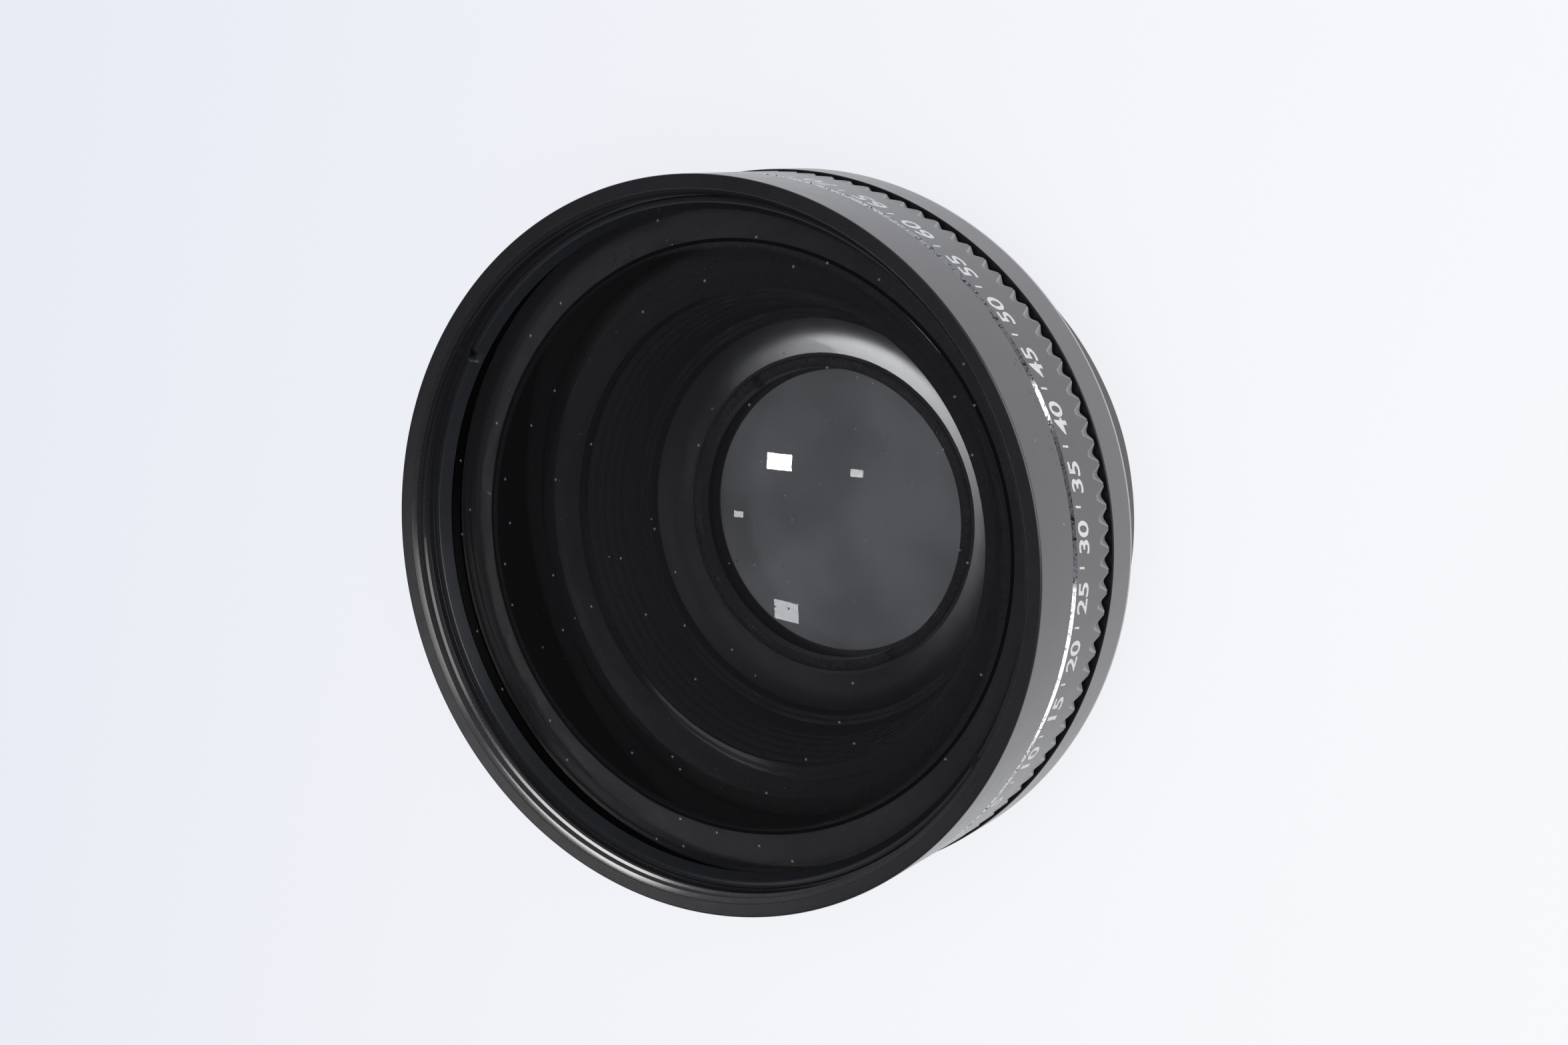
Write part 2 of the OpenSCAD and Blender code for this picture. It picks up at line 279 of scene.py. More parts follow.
class Graph(Tree):
    """Builder of one material that ends in a Principled shader."""

    def __init__(self, name: str) -> None:
        """Start an empty material.

        Args:
            name: the material's name.
        """
        self.material = bpy.data.materials.new(name)
        self.material.use_nodes = True
        super().__init__(self.material.node_tree)
        self.output = self.node("ShaderNodeOutputMaterial")
        self.shader = self.node("ShaderNodeBsdfPrincipled")
        self.feed(self.output.inputs["Surface"], self.shader.outputs[0])
        self._place: Optional[bpy.types.NodeSocket] = None

    def set(self, **values: object) -> None:
        """Feed the Principled shader; an underscore in a name stands for a space."""
        for key, value in values.items():
            self.feed(self.shader.inputs[key.replace("_", " ")], value)

    @property
    def place(self) -> bpy.types.NodeSocket:
        """Object coordinates."""
        if self._place is None:
            self._place = self.node("ShaderNodeTexCoord").outputs["Object"]
        return self._place

    def parts(self) -> tuple[Value, Value, Value]:
        """Object coordinates as x, y and z in millimetres."""
        split = self.node("ShaderNodeSeparateXYZ", sockets={0: self.place})
        x, y, z = (Value(self, split.outputs[i]) * (1 / MM) for i in range(3))
        return x, y, z

    def radius(self, x: Value, y: Value) -> Value:
        """Distance from the axis, in the unit of x and y."""
        return (x * x + y * y).power(0.5)

    def rings(self) -> bpy.types.NodeSocket:
        """Coordinates in metres that are the same all round the axis, for turning lines."""
        x, y, z = self.parts()
        made = self.node("ShaderNodeCombineXYZ", sockets={0: self.radius(x, y) * MM, 1: z * MM})
        return made.outputs[0]

    def noise(self, size_mm: Number, detail: Number = 2.0, where: object = None) -> Value:
        """Noise whose lumps are about the given size.

        Args:
            size_mm: size of a lump.
            detail: number of finer layers.
            where: coordinates in metres; object coordinates if left out.

        Returns:
            The noise, about 0.5 on average.
        """
        made = self.node(
            "ShaderNodeTexNoise",
            {"noise_dimensions": "3D"},
            {"Vector": where or self.place, "Scale": 1 / (size_mm * MM), "Detail": detail},
        )
        return Value(self, made.outputs["Fac"])

    def specks(
        self, pitch_mm: Number, size_mm: Number, share: Number, level: bool = False
    ) -> Value:
        """Mask of small round specks scattered in space.

        Args:
            pitch_mm: mean distance between cells that may hold a speck.
            size_mm: radius of a speck.
            share: share of the cells that hold one.
            level: whether the cells lie flat, for a face that looks up.

        Returns:
            A mask from 0 to 1.
        """
        cell = self.node(
            "ShaderNodeTexVoronoi",
            {"feature": "F1", "voronoi_dimensions": "2D" if level else "3D"},
            {"Vector": self.place, "Scale": 1 / (pitch_mm * MM)},
        )
        reach = size_mm / pitch_mm
        near = Value(self, cell.outputs["Distance"]).below(reach, reach * 0.4)
        tone = self.node("ShaderNodeSeparateColor", sockets={0: cell.outputs["Color"]})
        return near * Value(self, tone.outputs[0]).below(share, 0.002)

    def mix(self, factor: Operand, first: object, second: object) -> bpy.types.NodeSocket:
        """Blend two colours.

        Args:
            factor: share of the second colour.
            first: colour or link.
            second: colour or link.

        Returns:
            The blended colour.
        """
        made = self.node("ShaderNodeMix", {"data_type": "RGBA"})
        self.feed(made.inputs[0], factor)
        self.feed(made.inputs[6], first)
        self.feed(made.inputs[7], second)
        return made.outputs[2]

    def bump(self, height: Value, distance_mm: Number) -> bpy.types.NodeSocket:
        """Bump from a height.

        Args:
            height: height from 0 to 1.
            distance_mm: real height of 1.

        Returns:
            The normal.
        """
        sockets = {"Height": height, "Distance": distance_mm * MM, "Strength": 1.0}
        return self.node("ShaderNodeBump", sockets=sockets).outputs[0]


@dataclass(frozen=True)
class Nick:
    """A small dent or chip at one place.

    Attributes:
        place: its centre in millimetres.
        reach: its radius in millimetres.
    """

    place: Triple
    reach: float


@dataclass(frozen=True)
class Anodised:
    """Blasted and black anodised aluminium.

    Attributes:
        name: material name.
        tone: colour of the dye.
        tint: second tone that drifts over the surface.
        roughness: mean roughness.
        grain_mm: size of the blasted grain.
        grain_depth: depth of the grain.
        turned: depth of the fine turning lines.
        dust: share of the cells that hold a speck of dust.
        level: specular level of the sealed skin.
        nicks: small chips in the skin.
        tips: colour of the grain's tips.
        chip: colour inside a chip.
        lint: colour of the dust.
        chip_depth: depth of a chip.
        speck_pitch: distance between the cells that may hold dust.
        speck_r: radius of a speck of dust.
        drift_mm: size of the patches of the second tone.
        cloud_mm: size of the patches of roughness.
    """

    name: str
    tone: Colour = (0.028, 0.027, 0.030)
    tint: Colour = (0.036, 0.032, 0.039)
    roughness: float = 0.30
    grain_mm: float = 0.11
    grain_depth: float = 0.006
    turned: float = 0.0
    dust: float = 0.03
    level: float = 0.6
    nicks: tuple[Nick, ...] = ()
    tips: Colour = (0.085, 0.083, 0.088)
    chip: Colour = (0.012, 0.011, 0.012)
    lint: Colour = (0.55, 0.55, 0.56)
    chip_depth: float = 0.06
    speck_pitch: float = 2.3
    speck_r: float = 0.075
    drift_mm: float = 9.0
    cloud_mm: float = 1.6

    def chips(self, g: Graph) -> Operand:
        """Mask of the chips, with ragged edges.

        Args:
            g: the material's builder.

        Returns:
            The mask, or 0 where there are no chips.
        """
        found: Operand = 0.0
        places = g.parts() if self.nicks else ()
        for nick in self.nicks:
            dx, dy, dz = (axis - centre for axis, centre in zip(places, nick.place))
            ragged = (g.noise(0.16) - 0.5) * nick.reach * 1.6
            away = (dx * dx + dy * dy + dz * dz).power(0.5) + ragged
            found = away.below(nick.reach, nick.reach * 0.2) + found
        return found

    def build(self) -> bpy.types.Material:
        """Make the material.

        Returns:
            The finished material.
        """
        g = Graph(self.name)
        grain = g.noise(self.grain_mm, 2.0)
        specks = g.specks(self.speck_pitch, self.speck_r, self.dust)
        patches = g.noise(self.drift_mm, 3.0).above(0.5, 0.22)
        colour = g.mix(patches, self.tone, self.tint)
        colour = g.mix(grain.above(0.62, 0.12) * 0.35, colour, self.tips)
        height = grain * self.grain_depth
        if self.turned:
            height = height + g.noise(0.09, 1.0, g.rings()) * self.turned
        if self.nicks:
            chips = self.chips(g)
            colour = g.mix(chips, colour, self.chip)
            height = height - chips * self.chip_depth
        colour = g.mix(specks, colour, self.lint)
        rough = (g.noise(self.cloud_mm, 3.0) - 0.5) * 0.10 + self.roughness
        g.set(
            Base_Color=colour,
            Roughness=rough + specks * 0.3,
            Specular_IOR_Level=self.level,
            Normal=g.bump(height, 1.0),
        )
        return g.material


@dataclass(frozen=True)
class BrightCut:
    """Bare aluminium of the bevel, cut bright after anodising.

    Attributes:
        name: material name.
        tone: colour of the bright metal.
        stain: colour of its stains.
        nip: colour of the skin left on the high spots.
    """

    name: str = "bright_cut_bevel"
    tone: Colour = (0.62, 0.62, 0.66)
    stain: Colour = (0.20, 0.19, 0.21)
    nip: Colour = (0.03, 0.03, 0.03)

    def build(self) -> bpy.types.Material:
        """Make the material.

        Returns:
            The finished material.
        """
        g = Graph(self.name)
        x, y, _ = g.parts()
        lines = g.noise(0.05, 1.0, g.rings())
        stains = g.noise(0.5, 3.0).above(0.66, 0.05)
        flat = g.node("ShaderNodeCombineXYZ", sockets={0: x * MM, 1: y * MM})
        nips = g.noise(0.55, 1.0, flat.outputs[0]).band(0.48, 0.52, 0.01)
        colour = g.mix(stains * 0.8, self.tone, self.stain)
        colour = g.mix(nips * 0.9, colour, self.nip)
        g.set(
            Base_Color=colour,
            Metallic=1.0,
            Roughness=lines * 0.10 + 0.06,
            Normal=g.bump(lines, 0.0005),
        )
        return g.material


@dataclass(frozen=True)
class CoatedGlass:
    """Polished optical glass with a thin coating and a little dust.

    Attributes:
        name: material name.
        tint: colour of the glass.
        index: refractive index.
        level: specular level, lower than bare glass because of the coating.
        dust: share of the cells that hold a speck.
        pitch: distance between cells.
        speck: radius of a speck.
        haze: colour of the faint smears.
        grit: colour of the dust.
    """

    name: str
    tint: Colour = (0.95, 0.965, 0.97)
    index: float = 1.52
    level: float = 0.5
    dust: float = 0.20
    pitch: float = 3.0
    speck: float = 0.09
    haze: Colour = (0.90, 0.93, 0.95)
    grit: Colour = (0.72, 0.74, 0.78)

    def build(self) -> bpy.types.Material:
        """Make the material.

        Returns:
            The finished material.
        """
        g = Graph(self.name)
        specks = g.specks(self.pitch, self.speck, self.dust, True)
        smears = g.noise(6.0, 4.0).above(0.60, 0.16)
        g.set(
            Base_Color=g.mix(smears * 0.25, self.tint, self.haze),
            Roughness=0.0,
            IOR=self.index,
            Specular_IOR_Level=self.level,
            Transmission_Weight=1.0,
        )
        grit = g.node(
            "ShaderNodeBsdfPrincipled", sockets={"Base Color": self.grit, "Roughness": 0.8}
        )
        sockets = {0: specks, 1: g.shader.outputs[0], 2: grit.outputs[0]}
        joined = g.node("ShaderNodeMixShader", sockets=sockets)
        g.feed(g.output.inputs["Surface"], joined.outputs[0])
        return g.material


@dataclass(frozen=True)
class Lacquer:
    """Matt black lacquer on the edges and lands of the glass.

    Attributes:
        name: material name.
        tone: its colour.
        brushed: its colour in the brush marks.
    """

    name: str = "edge_black_lacquer"
    tone: Colour = (0.003, 0.003, 0.003)
    brushed: Colour = (0.006, 0.006, 0.007)

    def build(self) -> bpy.types.Material:
        """Make the material.

        Returns:
            The finished material.
        """
        g = Graph(self.name)
        brush = g.noise(0.4, 3.0)
        g.set(
            Base_Color=g.mix(brush.above(0.55, 0.2) * 0.5, self.tone, self.brushed),
            Roughness=brush * 0.2 + 0.6,
            Specular_IOR_Level=0.0,
            Normal=g.bump(brush, 0.01),
        )
        return g.material


@dataclass(frozen=True)
class PrintedWhite:
    """White screen printing on the marking band.

    Attributes:
        name: material name.
        tone: colour of the ink.
        thin: its colour where it is worn.
    """

    name: str = "printed_white"
    tone: Colour = (0.93, 0.93, 0.94)
    thin: Colour = (0.50, 0.50, 0.51)

    def build(self) -> bpy.types.Material:
        """Make the material.

        Returns:
            The finished material.
        """
        g = Graph(self.name)
        worn = g.noise(0.25, 3.0)
        g.set(
            Base_Color=g.mix(worn.above(0.63, 0.06) * 0.7, self.tone, self.thin),
            Roughness=worn * 0.2 + 0.4,
            Normal=g.bump(worn, 0.004),
        )
        return g.material


# Flat black of the inner faces and light-trap grooves; on the seam and gap faces between the two
# units it is painted shade.
INNER_BLACK_AND_GAP_SHADE = Anodised(
    "inner_flat_black",
    tone=(0.006, 0.006, 0.007),
    tint=(0.009, 0.008, 0.009),
    roughness=0.40,
    grain_mm=0.09,
    grain_depth=0.004,
    turned=0.006,
    dust=0.02,
    level=0.35,
)
REAR_BLACK = Anodised("rear_anodised_black", roughness=0.35)
# Lighter copy of the black anodise for the rear band: painted sheen standing in for the band's
# reflected light.
REAR_BAND_SHEEN_BLACK = Anodised(
    "rear_band_black",
    tone=(0.066, 0.064, 0.070),
    tint=(0.080, 0.076, 0.084),
    roughness=0.26,
    dust=0.08,
    level=1.0,
)
# Light grey of the rear band's back chamfer and a thin strip above it: edge wear and a painted
# highlight line.
WORN_EDGE_AND_GLINT = Anodised(
    "rubbed_edge",
    tone=(0.42, 0.42, 0.43),
    tint=(0.54, 0.53, 0.54),
    grain_mm=0.08,
    grain_depth=0.004,
    dust=0.0,
    level=1.0,
)
REAR_RING_BLACK = Anodised(
    "rear_ring_satin_black",
    tone=(0.010, 0.010, 0.011),
    tint=(0.014, 0.013, 0.014),
    roughness=0.26,
    grain_mm=0.09,
    grain_depth=0.002,
    turned=0.004,
    dust=0.0,
)
BOWL_BLACK = Anodised(
    "bowl_satin_black",
    tone=(0.009, 0.009, 0.010),
    tint=(0.012, 0.011, 0.012),
    roughness=0.31,
    grain_mm=0.09,
    grain_depth=0.005,
    turned=0.001,
    dust=0.01,
    level=0.9,
)
# Light bluish grey on the black anodised flute faces: painted reflection of the pale backdrop.
FLUTE_SHEEN_GREY = Anodised(
    "flute_satin",
    tone=(0.27, 0.29, 0.31),
    tint=(0.34, 0.36, 0.38),
    roughness=0.34,
    grain_mm=0.09,
    grain_depth=0.004,
    dust=0.01,
    level=1.0,
)
THREAD_BLACK = Anodised(
    "thread_gloss_black",
    tone=(0.022, 0.022, 0.024),
    tint=(0.028, 0.026, 0.029),
    roughness=0.22,
    grain_mm=0.09,
    grain_depth=0.001,
    dust=0.02,
    level=1.0,
)
FRONT_RING_BLACK = Anodised(
    "front_ring_black",
    tone=(0.034, 0.037, 0.044),
    tint=(0.040, 0.043, 0.052),
    roughness=0.24,
    grain_depth=0.001,
    turned=0.003,
    level=0.8,
)


@dataclass(frozen=True)
class Corner:
    """A corner of a half section.

    Attributes:
        r: radius in millimetres.
        z: height in millimetres.
        fillet: length cut off each side when the corner is rounded.
        finish: place, in the piece's list of materials, of the face that starts here.
    """

    r: float
    z: float
    fillet: float = 0.06
    finish: int = 0


def sag(radius: float, away: float) -> float:
    """Depth of a spherical face of the given radius at a distance from its axis."""
    return radius - math.sqrt(radius * radius - away * away)


def rounded(corners: Sequence[Corner], closed: bool, steps: int = 3) -> list[SectionPoint]:
    """Round the corners of a half section.

    Args:
        corners: its corners in order.
        closed: whether the last corner joins the first.
        steps: number of edges on each rounded corner.

    Returns:
        Points as radius, height and finish of the face that starts there.
    """
    result: list[SectionPoint] = []
    count = len(corners)
    for i, corner in enumerate(corners):
        here = Vector((corner.r, corner.z))
        if corner.fillet <= 0 or (not closed and i in (0, count - 1)):
            result.append((corner.r, corner.z, corner.finish))
            continue
        before, after = corners[i - 1], corners[(i + 1) % count]
        back = Vector((before.r, before.z)) - here
        ahead = Vector((after.r, after.z)) - here
        reach = min(corner.fillet, 0.42 * back.length, 0.42 * ahead.length)
        start, end = here + back.normalized() * reach, here + ahead.normalized() * reach
        for k in range(steps + 1):
            t = k / steps
            point = start * (1 - t) ** 2 + here * (2 * t * (1 - t)) + end * t**2
            finish = corner.finish if k == steps else before.finish
            result.append((point.x, point.y, finish))
    return result


def arc(centre: Point, radius: float, start: float, end: float, steps: int) -> list[Corner]:
    """Points on an arc of a half section.

    Args:
        centre: its centre.
        radius: its radius.
        start: first angle in degrees.
        end: last angle in degrees.
        steps: number of edges.

    Returns:
        Corners from start to end.
    """
    found = []
    for k in range(steps + 1):
        a = math.radians(start + (end - start) * k / steps)
        r, z = centre[0] + radius * math.cos(a), centre[1] + radius * math.sin(a)
        found.append(Corner(r, z, 0.0))
    return found


def finish_mesh(
    bm: bmesh.types.BMesh,
    name: str,
    materials: Sequence[bpy.types.Material],
    sharp_deg: float = 38.0,
    recalc: bool = True,
) -> bpy.types.Object:
    """Turn a bmesh in millimetres into a smooth-shaded object in metres.

    Args:
        bm: the mesh, which is freed.
        name: the object's name.
        materials: its materials in order.
        sharp_deg: edges above this angle stay sharp.
        recalc: whether to make the normals consistent.

    Returns:
        The object, linked to the scene.
    """
    if recalc:
        bmesh.ops.recalc_face_normals(bm, faces=bm.faces)
    bmesh.ops.transform(bm, matrix=Matrix.Scale(MM, 4), verts=bm.verts)
    mesh = bpy.data.meshes.new(name)
    bm.to_mesh(mesh)
    bm.free()
    for material in materials:
        mesh.materials.append(material)
    mesh.shade_smooth()
    mesh.set_sharp_from_angle(angle=math.radians(sharp_deg))
    made = bpy.data.objects.new(name, mesh)
    bpy.context.scene.collection.objects.link(made)
    even = made.modifiers.new("even_shading", "WEIGHTED_NORMAL")
    even.keep_sharp = True
    even.weight = 50
    return made


def turned_bmesh(
    section: Sequence[SectionPoint],
    segments: int,
    closed: bool,
    shape: Optional[Callable[[float, float, float], float]] = None,
) -> bmesh.types.BMesh:
    """Turn a half section about the axis.

    Args:
        section: points as radius, height and finish.
        segments: number of steps round the axis.
        closed: whether the section is a closed outline.
        shape: gives a new radius from radius, angle and height.

    Returns:
        The mesh in millimetres.
    """
    bm = bmesh.new()
    columns: list[list[bmesh.types.BMVert]] = []
    poles = {i: bm.verts.new((0, 0, z)) for i, (r, z, _) in enumerate(section) if r < 1e-6}
    for k in range(segments):
        a = 2 * math.pi * k / segments
        column = []
        for i, (r, z, _) in enumerate(section):
            if i in poles:
                column.append(poles[i])
                continue
            radius = shape(r, a, z) if shape else r
            column.append(bm.verts.new((radius * math.cos(a), radius * math.sin(a), z)))
        columns.append(column)
    pairs = len(section) if closed else len(section) - 1
    for k in range(segments):
        here, there = columns[k], columns[(k + 1) % segments]
        for i in range(pairs):
            j = (i + 1) % len(section)
            ring = [here[i], there[i], there[j], here[j]]
            corners = [v for n, v in enumerate(ring) if v not in ring[:n]]
            if len(corners) < 3:
                continue
            bm.faces.new(corners).material_index = section[i][2]
    return bm


def turned_piece(
    name: str,
    corners: Sequence[Corner],
    segments: int,
    materials: Sequence[bpy.types.Material],
) -> bpy.types.Object:
    """Turn a closed outline with rounded corners into an object.

    Args:
        name: the object's name.
        corners: the outline's corners.
        segments: number of steps round the axis.
        materials: its materials in order.

    Returns:
        The object, linked to the scene.
    """
    return finish_mesh(turned_bmesh(rounded(corners, True), segments, True), name, materials)


def absorb(whole: bmesh.types.BMesh, part: bmesh.types.BMesh) -> None:
    """Add one mesh to another and free it.

    Args:
        whole: the mesh that grows.
        part: the mesh that it takes in.
    """
    spare = bpy.data.meshes.new("spare")
    part.to_mesh(spare)
    part.free()
    whole.from_mesh(spare)
    bpy.data.meshes.remove(spare)


def helix(
    radius: float,
    crest: float,
    low: float,
    high: float,
    hand: Hand,
    steps: int = 200,
    pitch: float = 0.75,
) -> bmesh.types.BMesh:
    """A right-hand thread ridge on a round wall.

    Args:
        radius: the wall's radius.
        crest: height of the ridge.
        low: height where the ridge starts.
        high: height where it ends.
        hand: side of the wall that it stands on.
        steps: steps in a turn.
        pitch: rise of a turn.

    Returns:
        The mesh in millimetres.
    """
    bm = bmesh.new()
    turns = (high - low) / pitch
    count = max(2, int(turns * steps))
    rows = []
    root, tip, sunk = pitch * 0.46, pitch * 0.07, -0.04
    for k in range(count + 1):
        turn = turns * k / count
        a = 2 * math.pi * turn
        fade = min(1.0, turn * 3.0, (turns - turn) * 3.0)
        z = low + turn * pitch
        profile = [(-root, sunk), (-tip, crest * fade), (tip, crest * fade), (root, sunk)]
        row = []
        for dz, dr in profile:
            r = radius + hand.value * dr
            row.append(bm.verts.new((r * math.cos(a), r * math.sin(a), z + dz)))
        rows.append(row)
    for here, there in zip(rows, rows[1:]):
        for i in range(4):
            j = (i + 1) % 4
            bm.faces.new([here[i], there[i], there[j], here[j]])
    for row in (rows[0], rows[-1]):
        bm.faces.new(row)
    return bm


def spanner_slots(
    ring: bpy.types.Object,
    angle_deg: float,
    top: float,
    reach: float,
    width: float = 0.9,
    depth: float = 0.6,
) -> None:
    """Cut two opposite spanner slots into a ring.

    Args:
        ring: the ring.
        angle_deg: direction of the slots.
        top: height of the ring's front face.
        reach: half length of the cutter.
        width: width of a slot.
        depth: its depth.
    """
    bm = bmesh.new()
    bmesh.ops.create_cube(bm, size=1.0)
    scale = Matrix.Diagonal((2 * reach, width, 2 * depth, 1.0))
    turn = Matrix.Rotation(math.radians(angle_deg), 4, "Z")
    bmesh.ops.transform(bm, matrix=Matrix.Translation((0, 0, top)) @ turn @ scale, verts=bm.verts)
    cutter = finish_mesh(bm, ring.name + "_cutter", ())
    cut = ring.modifiers.new("slots", "BOOLEAN")
    cut.operation = "DIFFERENCE"
    cut.object = cutter
    cut.solver = "EXACT"
    bpy.context.view_layer.update()
    ready = ring.evaluated_get(bpy.context.evaluated_depsgraph_get())
    mesh = bpy.data.meshes.new_from_object(ready)
    old = ring.data
    ring.modifiers.clear()
    ring.data = mesh
    bpy.data.meshes.remove(old)
    bpy.data.objects.remove(cutter)
    even = ring.modifiers.new("even_shading", "WEIGHTED_NORMAL")
    even.keep_sharp = True


def stand_for(
    piece: bpy.types.Object, body: Body, nodes: Sequence[str] = ()
) -> bpy.types.Object:
    """Let a piece ride on a body and stand for CAD nodes, which are hidden.

    Args:
        piece: the piece.
        body: the body that it rides on.
        nodes: CAD nodes that it replaces.

    Returns:
        The piece.
    """
    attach(piece, body.value)
    if nodes:
        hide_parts(*nodes)
    LOG.info("piece %s rides on %s", piece.name, body.value)
    return piece


@dataclass
class RearGlass:
    """The cemented pair of the rear unit, drawn as one body of glass."""

    edge_r: float = 17.5
    lip_r: float = 16.5
    lip_z: float = 2.6
    flint_edge: float = 2.4
    crown_edge: float = 1.6
    front_r: float = 150.0
    rear_r: float = 232.0
    glass: CoatedGlass = CoatedGlass(
        "rear_pair_glass",
        tint=(0.93, 0.94, 0.95),
        index=1.62,
        dust=0.30,
        pitch=5.0,
        speck=0.10,
    )

    @property
    def rear_z(self) -> float:
        """Height of the pair's rear edge."""
        return self.lip_z + sag(self.rear_r, self.edge_r) - sag(self.rear_r, self.lip_r)

    @property
    def front_z(self) -> float:
        """Height of the pair's front edge."""
        return self.rear_z + self.flint_edge + self.crown_edge

    def build(self, lacquer: bpy.types.Material) -> bpy.types.Object:
        """Make the pair.

        Args:
            lacquer: material of its blackened edge.

        Returns:
            The piece.
        """
        steps = 28
        edge, outer = self.edge_r, GlassFinish.OUTER
        rear_edge, front_edge = sag(self.rear_r, edge), sag(self.front_r, edge)
        section: list[SectionPoint] = []
        for k in range(steps + 1):
            r = edge * k / steps
            section.append((r, self.rear_z + sag(self.rear_r, r) - rear_edge, outer))
        section[-1] = (*section[-1][:2], GlassFinish.LACQUER)
        for k in range(steps, -1, -1):
            r = edge * k / steps
            section.append((r, self.front_z - sag(self.front_r, r) + front_edge, outer))
        bm = turned_bmesh(section, 192, False)
        made = finish_mesh(bm, "rear_pair", (self.glass.build(), lacquer))
        nodes = ("macro_crown_glass", "macro_flint_glass")
        return stand_for(made, Body.MACRO_UNIT, nodes)


